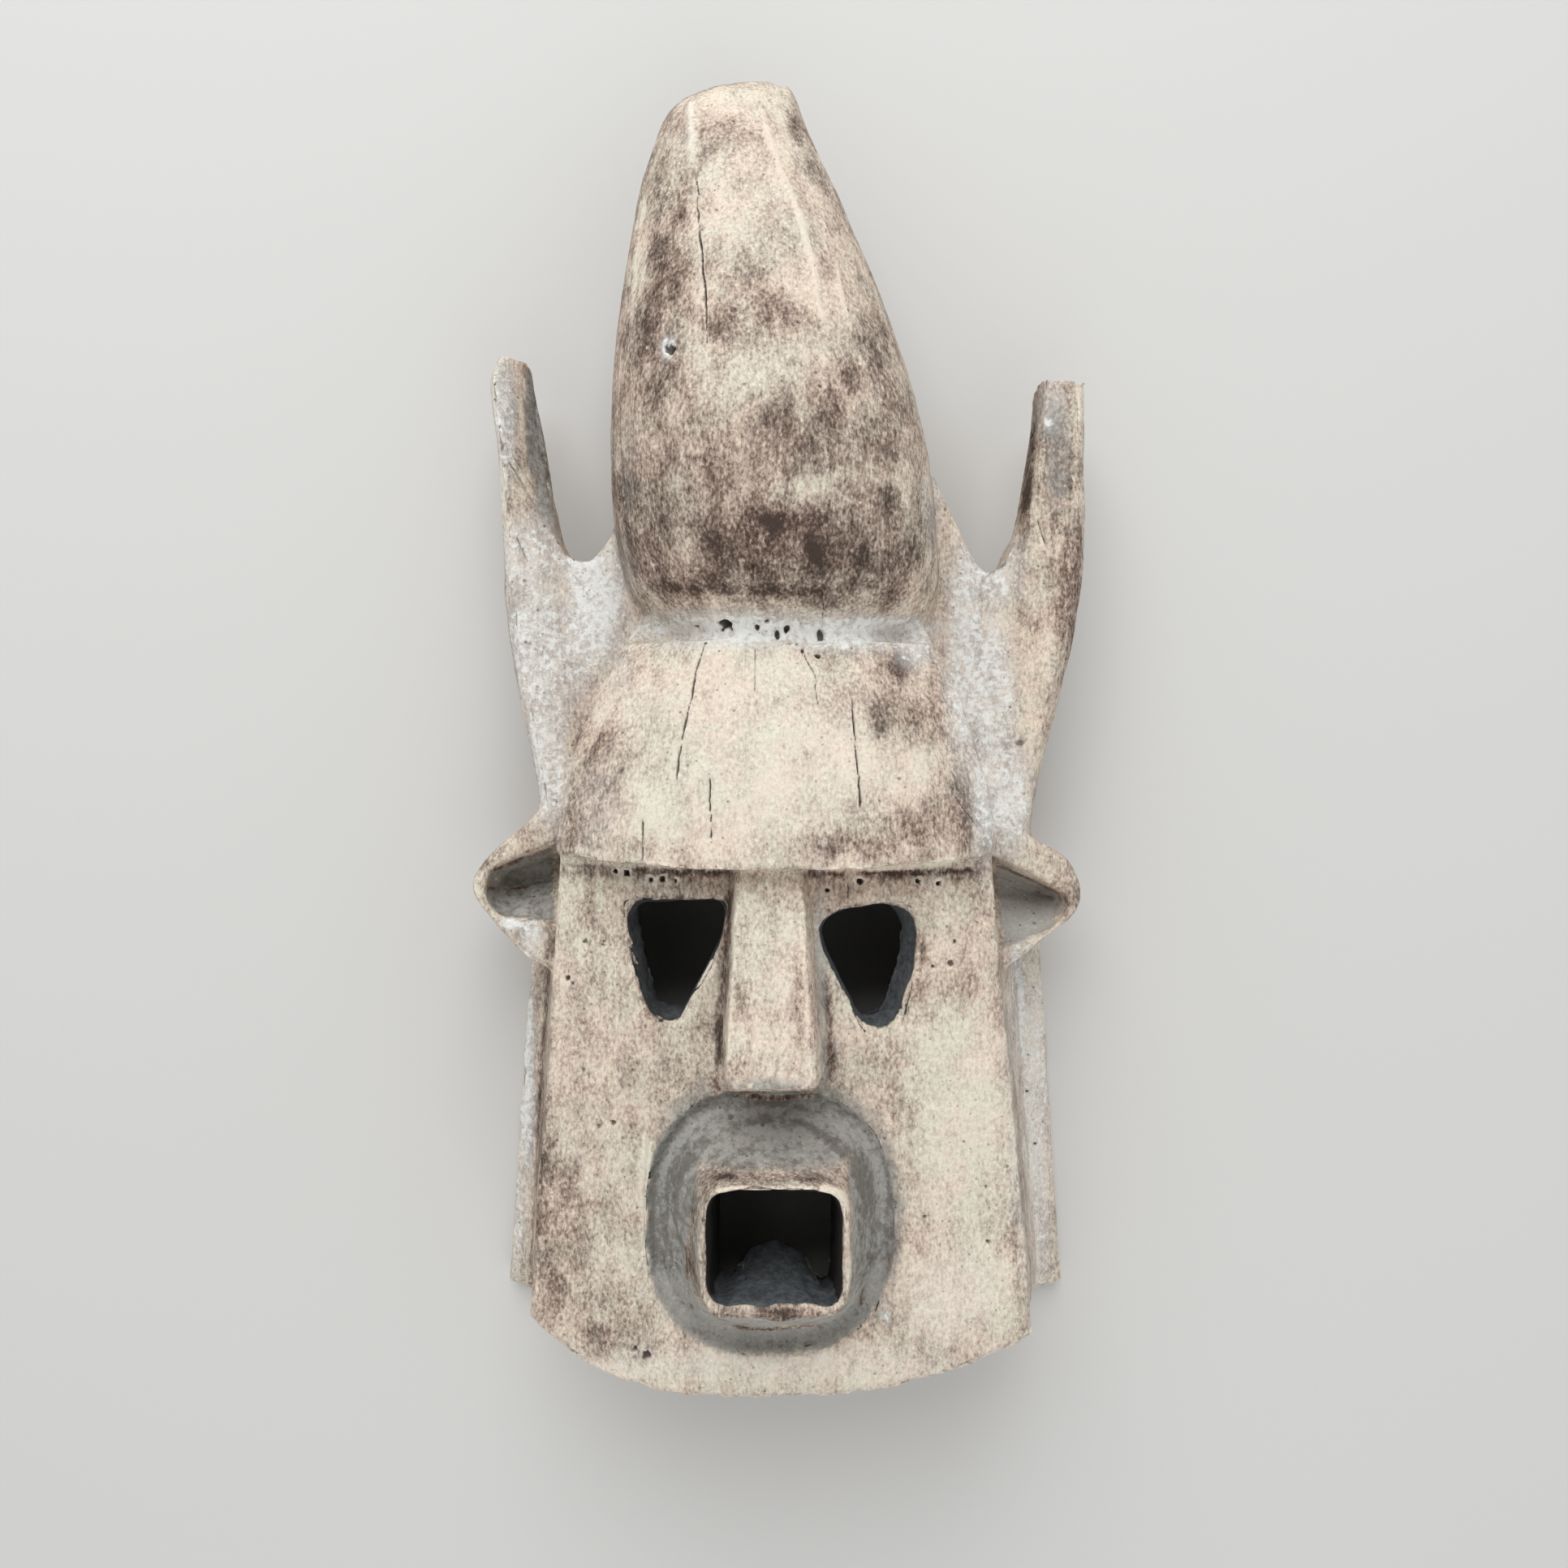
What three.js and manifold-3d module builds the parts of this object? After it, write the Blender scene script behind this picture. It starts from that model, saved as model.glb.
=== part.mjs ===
// Dogon face mask, carved from one block of light wood and lying on its back.
// Millimetres. X runs to the viewer's right of the nose line, Y runs up the face from the brow,
// and Z runs out of the face from the flat back of the block. The last lines move the origin to
// the middle of the underside.

import * as THREE from 'three';
import { mergeVertices } from 'three/addons/utils/BufferGeometryUtils.js';
import Module from 'manifold-3d';

const wasm = await Module();
wasm.setup();

// Face box: a hollow front with sides that flare back to a rim
const BROW_Y = 0;
const CHIN_Y = -187.5;
const BACK_CHIN_Y = -197;
const FACE_EDGE_Z = 86;
const FACE_MIDDLE_Z = 92;
const FACE_BOW = 2.2;
const FACE_INSETS = [0, 4, 14, 34];
const EDGE_WEAR = 1.5;
const WORN_WIDTH = 14;
const WALL = 13;
const FACE_THICKNESS = 15;
const CAVITY_ROOF_Z = FACE_MIDDLE_Z - FACE_THICKNESS;
const BEHIND_FACE_Z = CAVITY_ROOF_Z - 4;
const RIM_THICKNESS = 9;
const SIDE_LEVELS = [0, RIM_THICKNESS, 14, 32, 60];
const SIDE_TOP_Z = 80;
const FLARE = [[0, 1], [RIM_THICKNESS, 1], [14, 0.6], [32, 0.4], [60, 0.13], [SIDE_TOP_Z, 0], [120, 0]];

// Sides of the face and of the back rim: x at the brow, x gained for each millimetre up the straight
// part, and how far the head has drawn in again 90 mm above the brow
const LEFT_FACE = { atBrow: -77.5, slope: 0.066, drawnIn: 27 };
const RIGHT_FACE = { atBrow: 79, slope: -0.089, drawnIn: -23.5 };
const LEFT_RIM = { atBrow: -101, slope: 0.066, drawnIn: 46 };
const RIGHT_RIM = { atBrow: 110.5, slope: -0.062, drawnIn: -46 };
const DRAWN_IN_AT = 90;

// Chin curve: how far each lower corner lies above the middle of the chin, and how late it turns up
const LEFT_CORNER = { rise: 27, power: 3.4 };
const RIGHT_CORNER = { rise: 19.5, power: 2.2 };
const BACK_CORNER = { rise: 17, power: 2.4 };

// Forehead dome and the back of the head behind it
const DOME_OVERHANG = 0.8;
const DOME_FOOT_Z = 60;
const DOME_EDGE_TOP_Z = 74;
const DOME_EDGE_FALL = 1.4;
const DOME_BOW = 2.6;
const DOME_TOP_Y = 82;
const HEAD_TOP_Y = 112;
const HEAD_Z = 76;
const HEAD_FALL = 0.012;
const DRAWN_IN_POWER = 1.9;
const BROW_OVERHANG_Z = 112;
const DOME_FALL = 9;
const DOME_TOP_FALL = 11;
const DOME_TOP_POWER = 3.2;
const BROW_END_Z = 89;
const BROW_END_RISE = 4.5;

// The hollow for the wearer's face: its height and the wall around it, from behind to its roof, and
// the pocket behind the forehead at its mouth and at its floor
const CAVITY_TOP_Y = 34;
const CAVITY_ARCH = 34;
const CAVITY_FLARE = 0.8;
const CAVITY_LEVELS = [
  { z: -2, inset: WALL },
  { z: 12, inset: WALL },
  { z: 30, inset: WALL + 1 },
  { z: 56, inset: WALL + 2 },
  { z: CAVITY_ROOF_Z - 6, inset: WALL + 7 },
  { z: CAVITY_ROOF_Z, inset: WALL + 16 },
];
const POCKET = { x: 0, y: 33 };
const POCKET_LEVELS = [{ z: 64, x: 58, y: 26, power: 3 }, { z: 93, x: 44, y: 18, power: 2.6 }];
const POCKET_POINTS = 28;

// Crest: its two edges, its front and its back at a row of heights, from under the crest to its tip,
// and how far the ridge of its front leans to the right
const CREST = [
  { y: 80, left: -36, right: 46, front: 89.5, back: -4, lean: 0 },
  { y: 86.5, left: -43, right: 53, front: 90.5, back: -4, lean: 0 },
  { y: 90, left: -47.5, right: 58.5, front: 96, back: -4, lean: 0 },
  { y: 97, left: -52.5, right: 63, front: 103, back: -4, lean: 0 },
  { y: 110, left: -58, right: 64, front: 109, back: -4, lean: 0 },
  { y: 128, left: -61.5, right: 62, front: 113, back: -4, lean: 0 },
  { y: 152, left: -62.4, right: 59.3, front: 114.5, back: -4, lean: 0 },
  { y: 190, left: -61.5, right: 50, front: 108, back: -3, lean: 0 },
  { y: 224, left: -58, right: 38.5, front: 98, back: 0, lean: 0 },
  { y: 252, left: -54, right: 27.5, front: 88.5, back: 5, lean: 0 },
  { y: 272, left: -49.5, right: 18, front: 80, back: 10, lean: 2 },
  { y: 287, left: -46, right: 11, front: 70, back: 16, lean: 6 },
  { y: 294.5, left: -42.5, right: 7.5, front: 63, back: 22, lean: 9 },
  { y: 299, left: -37, right: 3.6, front: 56.5, back: 31, lean: 11 },
];
const CREST_WIDEST = 0.46;
const CREST_FRONT_POWER = 2.35;
const CREST_BACK_POWER = 3.2;
const CREST_RINGS = 20;
const CREST_POINTS = 36;

// Horns: outer and inner edge at a row of heights, with the drop from the ridge to the inner edge
const LEFT_HORN = [
  { y: 12, outer: -91, inner: -70, front: 54, drop: 5 },
  { y: 52, outer: -98.8, inner: -74, front: 55, drop: 6.5 },
  { y: 90, outer: -105.3, inner: -78, front: 56, drop: 8 },
  { y: 122, outer: -107.2, inner: -82, front: 57, drop: 9.5 },
  { y: 142, outer: -108.2, inner: -86, front: 56, drop: 14 },
  { y: 166, outer: -110.3, inner: -90.8, front: 54, drop: 18 },
  { y: 186, outer: -113.4, inner: -94.6, front: 51, drop: 16 },
  { y: 196.5, outer: -112.8, inner: -96, front: 48, drop: 12 },
  { y: 199.8, outer: -110.8, inner: -97.5, front: 45, drop: 8 },
];
const RIGHT_HORN = [
  { y: 12, outer: 101.5, inner: 74, front: 54, drop: 5 },
  { y: 40, outer: 106.7, inner: 78, front: 55, drop: 7 },
  { y: 62, outer: 112.7, inner: 82, front: 56, drop: 8.5 },
  { y: 84, outer: 118, inner: 85, front: 57, drop: 10 },
  { y: 108, outer: 121.5, inner: 88, front: 57, drop: 9 },
  { y: 130, outer: 122.8, inner: 93.8, front: 56.5, drop: 4 },
  { y: 157, outer: 123, inner: 99, front: 54, drop: 1 },
  { y: 182, outer: 124, inner: 102.4, front: 51, drop: 1 },
  { y: 189, outer: 123.2, inner: 103, front: 50, drop: 1 },
];
const HORN_BACK_Z = 19;
const HORN_EDGE_Z = 40;
const HORN_BEVEL = 6;
const HORN_ROWS = 14;

// The break at the top of the right horn: a notch beside a splinter on the outer edge
const RIGHT_BREAK = [
  [98, 186.8], [104, 188.8], [109, 187.3], [114, 188.6], [117.4, 187], [118.3, 180.5], [119.4, 186.4],
  [122, 188.4], [126, 200], [98, 200],
];
const BREAK_LEAN = 0.12;

// Webs that tie each horn to the crest, as corners of the web in plan
const WEB_BACK_Z = 17;
const WEB_FRONT_Z = 52;
const WEB_FALL = 0.14;
const LEFT_WEB = [
  [-40, 4], [-88, 14], [-97, 60], [-99, 124], [-85, 129], [-81, 120], [-72.5, 117.5],
  [-65, 125.5], [-60, 139], [-30, 139],
];
const RIGHT_WEB = [
  [40, 4], [97, 14], [107, 60], [112, 124], [94, 129], [89.5, 117.5], [83, 113.5],
  [78.5, 118.5], [71.5, 132], [62, 151], [30, 151],
];

// Ears: the leaf at a row of heights and how far its outline reaches there, the cup that is cut into
// its front and how far the cup reaches along the ear and across its valley, then their outlines
const EAR_LEVELS = [
  { z: 18, reach: 0.84, tipFall: 0 },
  { z: 27, reach: 0.97, tipFall: 0 },
  { z: 44, reach: 1, tipFall: 0.14 },
  { z: 55, reach: 0.95, tipFall: 0.14 },
];
const CUP_LEVELS = [
  { z: 59, along: 1.02, across: 1.02 },
  { z: 47, along: 0.98, across: 0.92 },
  { z: 30, along: 0.85, across: 0.15 },
];
const EAR_POINTS = 26;
const EAR_ROOT_X = 88;
const EAR_MIDDLE_Y = -9;
const LEAF_TENSION = 0.4;
const LEFT_EAR = [
  [-70, 26], [-90, 21.5], [-100, 13.5], [-111, 5], [-119, -6], [-119, -13], [-112, -22],
  [-102, -33], [-91, -41], [-70, -42],
];
const LEFT_EAR_HOLLOW = [
  [-80, 7], [-88, 5], [-98.5, 2], [-108, -2.2], [-111.2, -9], [-109.5, -17], [-103, -21],
  [-92, -21.5], [-80, -22],
];
const LEFT_EAR_VALLEY = { rootX: -80, rootY: 1, tipX: -111, tipY: -9 };
const RIGHT_EAR = [
  [70, 24], [93, 15], [104, 9], [115, 3], [120.5, -6], [122, -13.5], [118, -22],
  [106, -31], [93, -40], [70, -42],
];
const RIGHT_EAR_HOLLOW = [
  [80, 1], [91.4, -1.1], [104, -8], [112.4, -13], [113.5, -17], [108, -24.9], [98, -30], [88, -31.5],
  [80, -32],
];
const RIGHT_EAR_VALLEY = { rootX: 80, rootY: -6, tipX: 113.5, tipY: -13 };

// Eyes: corners in front and behind, so that the walls slope in
const EYE_ROUNDING = 3.5;
const EYE_BACK_ROUNDING = 1.5;
const EYE_STEPS = 5;
const LEFT_EYE = {
  front: [[-53, -11], [-16.5, -10.5], [-18.5, -24], [-36, -56.5], [-43.5, -53.5], [-50, -30]],
  back: [[-47, -14], [-18, -12], [-20, -24], [-32, -47], [-40, -46], [-44, -30]],
};
const RIGHT_EYE = {
  front: [[16, -19.5], [24, -14.5], [46, -11.5], [55, -19], [52.5, -34], [45, -56], [34.5, -58.5], [18, -28]],
  back: [[18.5, -20], [25, -16], [39, -14], [43, -20], [42, -32], [37, -48], [31, -50], [20, -28]],
};

// Nose: a wedge that stands out more towards its end
const NOSE_TOP = { y: 3, left: -12.8, right: 10.2, z: 101.5, spreadLeft: 3, spreadRight: 5.5 };
const NOSE_END = { y: -71, left: -16.4, right: 15.6, z: 118, spreadLeft: 4, spreadRight: 6.5 };
const NOSE_ROOT_Z = 84;
const NOSE_UNDERCUT = 5;

// Mouth: a snout that rises from a sunken ring, with a square hole through it
const MOUTH = { x: -1.2, y: -124 };
const RING_RADIUS = { x: 44.2, y: 47 };
const RING_FLOOR_Z = 84.5;
const RING_STEP = 3.2;
const RING_SPREAD = 0.6;
const RING_POWER = 2.5;
const RING_POINTS = 40;
const SNOUT_GAP = 0.5;
const SNOUT_TAPER = 1.55;
const SNOUT_ROWS = 6;
const LIP = { x: 0.9, y: -123.5, z: 121 };
const LIP_RADIUS = { x: 25.2, y: 22.5 };
const LIP_POWER = 5;

// Mouth hole from behind to the lip: half sizes, squareness and how far its lower corners run down
// beside the hill in the middle of its lower side
const HOLE = { x: 0.4, y: -121.4 };
const HOLE_LEVELS = [
  { z: BEHIND_FACE_Z, x: 19, y: 12.3, power: 4, cornerDrop: 11.2 },
  { z: 78, x: 19, y: 12.3, power: 5, cornerDrop: 28 },
  { z: 100, x: 20.6, y: 15.6, power: 6, cornerDrop: 11.2 },
  { z: 124, x: 21.2, y: 18, power: 8, cornerDrop: 0 },
];
const HOLE_POINTS = 36;

const WOOD = { color: 0xcdb99f, roughness: 0.9, metalness: 0 };

// Helpers for numbers
function mix(a, b, t) {
  return a + (b - a) * t;
}

function hermite(before, from, to, after, t) {
  const m0 = (to - before) / 2;
  const m1 = (after - from) / 2;
  const t2 = t * t;
  const t3 = t2 * t;
  return (2 * t3 - 3 * t2 + 1) * from + (t3 - 2 * t2 + t) * m0 + (3 * t2 - 2 * t3) * to + (t3 - t2) * m1;
}

// A smooth row of stations: every value of the stations at a height y between them
function stationAt(stations, y) {
  const last = stations.length - 1;
  let i = 0;
  while (i < last - 1 && stations[i + 1].y < y) {
    i += 1;
  }
  const t = (y - stations[i].y) / (stations[i + 1].y - stations[i].y);
  const around = [Math.max(i - 1, 0), i, i + 1, Math.min(i + 2, last)].map((k) => stations[k]);
  const result = {};
  for (const key of Object.keys(stations[0])) {
    result[key] = hermite(...around.map((station) => station[key]), t);
  }
  result.y = y;
  return result;
}

// Helpers for solids
function signedVolume(positions, index) {
  const a = new THREE.Vector3();
  const b = new THREE.Vector3();
  const c = new THREE.Vector3();
  let total = 0;
  for (let i = 0; i < index.length; i += 3) {
    a.fromArray(positions, index[i] * 3);
    b.fromArray(positions, index[i + 1] * 3);
    c.fromArray(positions, index[i + 2] * 3);
    total += a.dot(b.cross(c)) / 6;
  }
  return total;
}

function solidFromGeometry(geometry) {
  const plain = geometry.clone();
  plain.deleteAttribute('normal');
  plain.deleteAttribute('uv');
  const merged = mergeVertices(plain, 1e-4);
  return new wasm.Manifold(new wasm.Mesh({
    numProp: 3,
    vertProperties: new Float32Array(merged.attributes.position.array),
    triVerts: new Uint32Array(merged.index.array),
  }));
}

// A closed solid through rings that have the same number of points, with a fan over each end
function loft(rings) {
  const count = rings[0].length;
  const points = rings.flat();
  const index = [];
  for (let r = 0; r < rings.length - 1; r += 1) {
    for (let i = 0; i < count; i += 1) {
      const a = r * count + i;
      const b = r * count + ((i + 1) % count);
      index.push(a, b, b + count, a, b + count, a + count);
    }
  }
  const lastRing = rings.length - 1;
  [0, lastRing].forEach((r) => {
    const ring = rings[r];
    const first = r * count;
    const middle = new THREE.Vector3();
    ring.forEach((point) => middle.addScaledVector(point, 1 / count));
    const hub = points.push(middle) - 1;
    for (let i = 0; i < count; i += 1) {
      const here = first + i;
      const next = first + ((i + 1) % count);
      index.push(...(r === 0 ? [hub, next, here] : [hub, here, next]));
    }
  });
  const positions = points.flatMap((point) => [point.x, point.y, point.z]);
  if (signedVolume(positions, index) < 0) {
    index.reverse();
  }
  const geometry = new THREE.BufferGeometry();
  geometry.setAttribute('position', new THREE.Float32BufferAttribute(positions, 3));
  geometry.setIndex(index);
  return solidFromGeometry(geometry);
}

// Rings in a plane of constant z
function cornerRing(corners, z, rounding, steps) {
  const ring = [];
  corners.forEach((corner, i) => {
    const here = new THREE.Vector2(...corner);
    const before = new THREE.Vector2(...corners[(i + corners.length - 1) % corners.length]);
    const after = new THREE.Vector2(...corners[(i + 1) % corners.length]);
    const start = here.clone().add(before.sub(here).setLength(rounding));
    const end = here.clone().add(after.sub(here).setLength(rounding));
    const arc = new THREE.QuadraticBezierCurve(start, here, end);
    arc.getPoints(steps).forEach((point) => ring.push(new THREE.Vector3(point.x, point.y, z)));
  });
  return ring;
}

function leafRing(corners, z, tipFall) {
  const flat = corners.map(([x, y]) => new THREE.Vector3(x, y, 0));
  const curve = new THREE.CatmullRomCurve3(flat, true, 'catmullrom', LEAF_TENSION);
  return curve.getPoints(EAR_POINTS).slice(0, EAR_POINTS).map((point) => {
    const fall = Math.max(Math.abs(point.x) - EAR_ROOT_X, 0) * tipFall;
    return new THREE.Vector3(point.x, point.y, z - fall);
  });
}

function superellipseRing(centre, radius, power, z, points) {
  const ring = [];
  for (let i = 0; i < points; i += 1) {
    const angle = (i / points) * 2 * Math.PI;
    const c = Math.cos(angle);
    const s = Math.sin(angle);
    const x = centre.x + radius.x * Math.sign(c) * Math.abs(c) ** (2 / power);
    const y = centre.y + radius.y * Math.sign(s) * Math.abs(s) ** (2 / power);
    ring.push(new THREE.Vector3(x, y, z));
  }
  return ring;
}

// Head outline: x of a side at height y, for the face in front and for the rim behind
function sideX(side, y) {
  if (y <= BROW_Y) {
    return side.atBrow + side.slope * y;
  }
  return side.atBrow + side.drawnIn * (y / DRAWN_IN_AT) ** DRAWN_IN_POWER;
}

// How far the wall has flared towards the rim at a height z above the floor
function flareAt(z) {
  const i = Math.max(FLARE.findIndex(([height]) => z <= height), 1);
  const [below, wide] = FLARE[i - 1];
  const [above, narrow] = FLARE[i];
  return mix(wide, narrow, Math.max((z - below) / (above - below), 0));
}

function leftX(y, flare) {
  return mix(sideX(LEFT_FACE, y), sideX(LEFT_RIM, y), flare);
}

function rightX(y, flare) {
  return mix(sideX(RIGHT_FACE, y), sideX(RIGHT_RIM, y), flare);
}

function chinY(u, flare) {
  const corner = u < 0 ? LEFT_CORNER : RIGHT_CORNER;
  const front = CHIN_Y + corner.rise * Math.abs(u) ** corner.power;
  const back = BACK_CHIN_Y + BACK_CORNER.rise * Math.abs(u) ** BACK_CORNER.power;
  return mix(front, back, flare);
}

// One ring of the head from the chin to topY, drawn in by inset on every side
function headRing({ z, flare, topY, arch = 0, inset, sideSteps, chinSteps, topSteps }) {
  const ring = [];
  const rightCornerY = chinY(1, flare) + inset;
  const leftCornerY = chinY(-1, flare) + inset;
  const topRight = rightX(topY, flare) - inset;
  const topLeft = leftX(topY, flare) + inset;
  for (let i = 0; i < sideSteps; i += 1) {
    const y = mix(rightCornerY, topY, i / sideSteps);
    ring.push(new THREE.Vector3(rightX(y, flare) - inset, y, z));
  }
  for (let i = 0; i < topSteps; i += 1) {
    const u = mix(-1, 1, i / topSteps);
    ring.push(new THREE.Vector3(mix(topRight, topLeft, i / topSteps), topY + arch * (1 - u * u), z));
  }
  for (let i = 0; i < sideSteps; i += 1) {
    const y = mix(topY, leftCornerY, i / sideSteps);
    ring.push(new THREE.Vector3(leftX(y, flare) + inset, y, z));
  }
  for (let i = 0; i < chinSteps; i += 1) {
    const u = mix(-1, 1, i / chinSteps);
    const left = leftX(leftCornerY, flare) + inset;
    const right = rightX(rightCornerY, flare) - inset;
    const x = u < 0 ? -u * left : u * right;
    ring.push(new THREE.Vector3(x, chinY(u, flare) + inset, z));
  }
  return ring;
}

// Front of the face: bowed across, with its edges and its chin a little worn back
function faceZ(point, inset) {
  const halfWidth = point.x < 0 ? -leftX(point.y, 0) : rightX(point.y, 0);
  const bow = 1 - Math.abs(point.x / halfWidth) ** FACE_BOW;
  return mix(FACE_EDGE_Z, FACE_MIDDLE_Z, bow) - EDGE_WEAR * (1 - Math.min(inset / WORN_WIDTH, 1)) ** 2;
}

// The face box: flared sides, sharp front edges and a gently bowed face
function faceBox() {
  const outline = { topY: 10, sideSteps: 9, chinSteps: 14, topSteps: 4 };
  const levels = [...SIDE_LEVELS, SIDE_TOP_Z];
  const rings = levels.map((z) => headRing({ ...outline, z, flare: flareAt(z), inset: 0 }));
  for (const inset of FACE_INSETS) {
    const ring = headRing({ ...outline, z: FACE_EDGE_Z, flare: 0, inset });
    ring.forEach((point) => point.setZ(faceZ(point, inset)));
    rings.push(ring);
  }
  return loft(rings);
}

// The back of the head, from behind the brow up into the root of the crest
function headBack() {
  const rings = [...SIDE_LEVELS, HEAD_Z].map((z) => {
    const flare = flareAt(z);
    const rows = 9;
    const right = [];
    const left = [];
    for (let i = 0; i <= rows; i += 1) {
      const y = mix(BROW_Y + 2, HEAD_TOP_Y, i / rows);
      const sunk = z * (1 - HEAD_FALL * Math.max(y - DOME_TOP_Y, 0));
      right.push(new THREE.Vector3(rightX(y, flare), y, sunk));
      left.unshift(new THREE.Vector3(leftX(y, flare), y, sunk));
    }
    return [...right, ...left];
  });
  return loft(rings);
}

// The forehead: a dome that overhangs the face in a sharp brow and falls back to the groove
function foreheadDome() {
  const rows = 8;
  const across = 18;
  const rings = [];
  for (let r = 0; r <= rows; r += 1) {
    const t = r / rows;
    const y = mix(BROW_Y, DOME_TOP_Y, t);
    const left = leftX(Math.max(y, 1), 0) - DOME_OVERHANG;
    const right = rightX(Math.max(y, 1), 0) + DOME_OVERHANG;
    const front = BROW_OVERHANG_Z - DOME_FALL * t - DOME_TOP_FALL * t ** DOME_TOP_POWER;
    const edge = mix(BROW_END_Z, DOME_EDGE_TOP_Z, t ** DOME_EDGE_FALL);
    const ring = [];
    for (let i = 0; i <= across; i += 1) {
      const u = -Math.cos((i / across) * Math.PI);
      const x = u < 0 ? -u * left : u * right;
      const z = mix(front, edge, Math.abs(u) ** DOME_BOW);
      ring.push(new THREE.Vector3(x, y + BROW_END_RISE * u * u * (1 - t), z));
    }
    ring.push(new THREE.Vector3(right, y + BROW_END_RISE * (1 - t), DOME_FOOT_Z));
    ring.push(new THREE.Vector3(left, y + BROW_END_RISE * (1 - t), DOME_FOOT_Z));
    rings.push(ring);
  }
  return loft(rings);
}

// The crest: a tall tongue, flat behind and round in front, that hangs over the groove
function crest() {
  const from = CREST[0].y;
  const to = CREST[CREST.length - 1].y;
  const rings = [];
  for (let r = 0; r <= CREST_RINGS; r += 1) {
    const t = 0.5 - 0.5 * Math.cos((r / CREST_RINGS) * Math.PI);
    const at = stationAt(CREST, mix(from, to, t));
    const middle = (at.left + at.right) / 2;
    const half = (at.right - at.left) / 2;
    const widest = mix(Math.max(at.back, 0), at.front, CREST_WIDEST);
    const ring = [];
    for (let i = 0; i < CREST_POINTS; i += 1) {
      const angle = (i / CREST_POINTS) * 2 * Math.PI;
      const c = Math.cos(angle);
      const s = Math.sin(angle);
      const power = s > 0 ? CREST_FRONT_POWER : CREST_BACK_POWER;
      const depth = s > 0 ? at.front - widest : widest - at.back;
      const x = middle + half * Math.sign(c) * Math.abs(c) ** (2 / power) + at.lean * Math.max(s, 0);
      ring.push(new THREE.Vector3(x, at.y, widest + depth * Math.sign(s) * Math.abs(s) ** (2 / power)));
    }
    rings.push(ring);
  }
  return loft(rings);
}

// A horn: a tapering bar with a ridge near its outer edge
function horn(stations) {
  const rings = [];
  const from = stations[0].y;
  const to = stations[stations.length - 1].y;
  for (let r = 0; r <= HORN_ROWS; r += 1) {
    const at = stationAt(stations, mix(from, to, (r / HORN_ROWS) ** 0.85));
    const across = (part) => mix(at.outer, at.inner, part);
    const bevelled = at.front - HORN_BEVEL;
    const innerEdge = at.front - at.drop;
    const edge = Math.min(HORN_EDGE_Z, bevelled);
    const section = [
      [0, edge], [0.06, bevelled], [0.24, at.front], [0.55, mix(at.front, innerEdge, 0.4)],
      [0.9, innerEdge], [1, Math.min(edge, innerEdge - 2)],
      [0.93, HORN_BACK_Z + 5], [0.72, HORN_BACK_Z], [0.28, HORN_BACK_Z], [0.07, HORN_BACK_Z + HORN_BEVEL],
    ];
    rings.push(section.map(([part, z]) => new THREE.Vector3(across(part), at.y, z)));
  }
  return loft(rings);
}

function hornBreak() {
  const ring = (z) => RIGHT_BREAK.map(([x, y]) => new THREE.Vector3(x, y + (50 - z) * BREAK_LEAN, z));
  return loft([ring(10), ring(70)]);
}

function web(corners) {
  const ring = (front) => corners.map(([x, y]) => {
    const z = front ? WEB_FRONT_Z - Math.max(Math.abs(x) - 50, 0) * WEB_FALL : WEB_BACK_Z;
    return new THREE.Vector3(x, y, z);
  });
  return loft([ring(false), ring(true)]);
}

// An outline drawn in towards the root of the ear
function drawnIn(outline, reach) {
  const rootX = outline[0][0];
  return outline.map(([x, y]) => [mix(rootX, x, reach), mix(EAR_MIDDLE_Y, y, reach)]);
}

// The outline of an ear's hollow, narrowed towards its valley, which runs out from the root to the tip
function towardsValley(hollow, valley, along, across) {
  return hollow.map(([x, y]) => {
    const out = (x - valley.rootX) / (valley.tipX - valley.rootX);
    return [mix(valley.rootX, x, along), mix(mix(valley.rootY, valley.tipY, out), y, across)];
  });
}

// An ear: a leaf that stands off the side of the head, and the cup that is cut into its front
function ear(outline, hollow, valley) {
  const leaf = EAR_LEVELS.map(({ z, reach, tipFall }) => leafRing(drawnIn(outline, reach), z, tipFall));
  const cup = CUP_LEVELS.map(({ z, along, across }) => (
    leafRing(towardsValley(hollow, valley, along, across), z, 0)
  ));
  return { leaf: loft(leaf), cup: loft(cup) };
}

function nose() {
  const ring = ({ y, left, right, z, spreadLeft, spreadRight }, undercut) => [
    new THREE.Vector3(left, y, z),
    new THREE.Vector3(right, y, z),
    new THREE.Vector3(right + spreadRight, y + undercut, NOSE_ROOT_Z),
    new THREE.Vector3(left - spreadLeft, y + undercut, NOSE_ROOT_Z),
  ];
  return loft([ring(NOSE_TOP, 0), ring(NOSE_END, NOSE_UNDERCUT)]);
}

// The sunken ring that is cut into the face around the snout
function mouthRing() {
  const floor = { x: RING_RADIUS.x - RING_STEP, y: RING_RADIUS.y - RING_STEP };
  const open = { x: RING_RADIUS.x + RING_SPREAD, y: RING_RADIUS.y + RING_SPREAD };
  return loft([
    superellipseRing(MOUTH, floor, RING_POWER, RING_FLOOR_Z, RING_POINTS),
    superellipseRing(MOUTH, open, RING_POWER, FACE_MIDDLE_Z + 3, RING_POINTS),
  ]);
}

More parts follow.
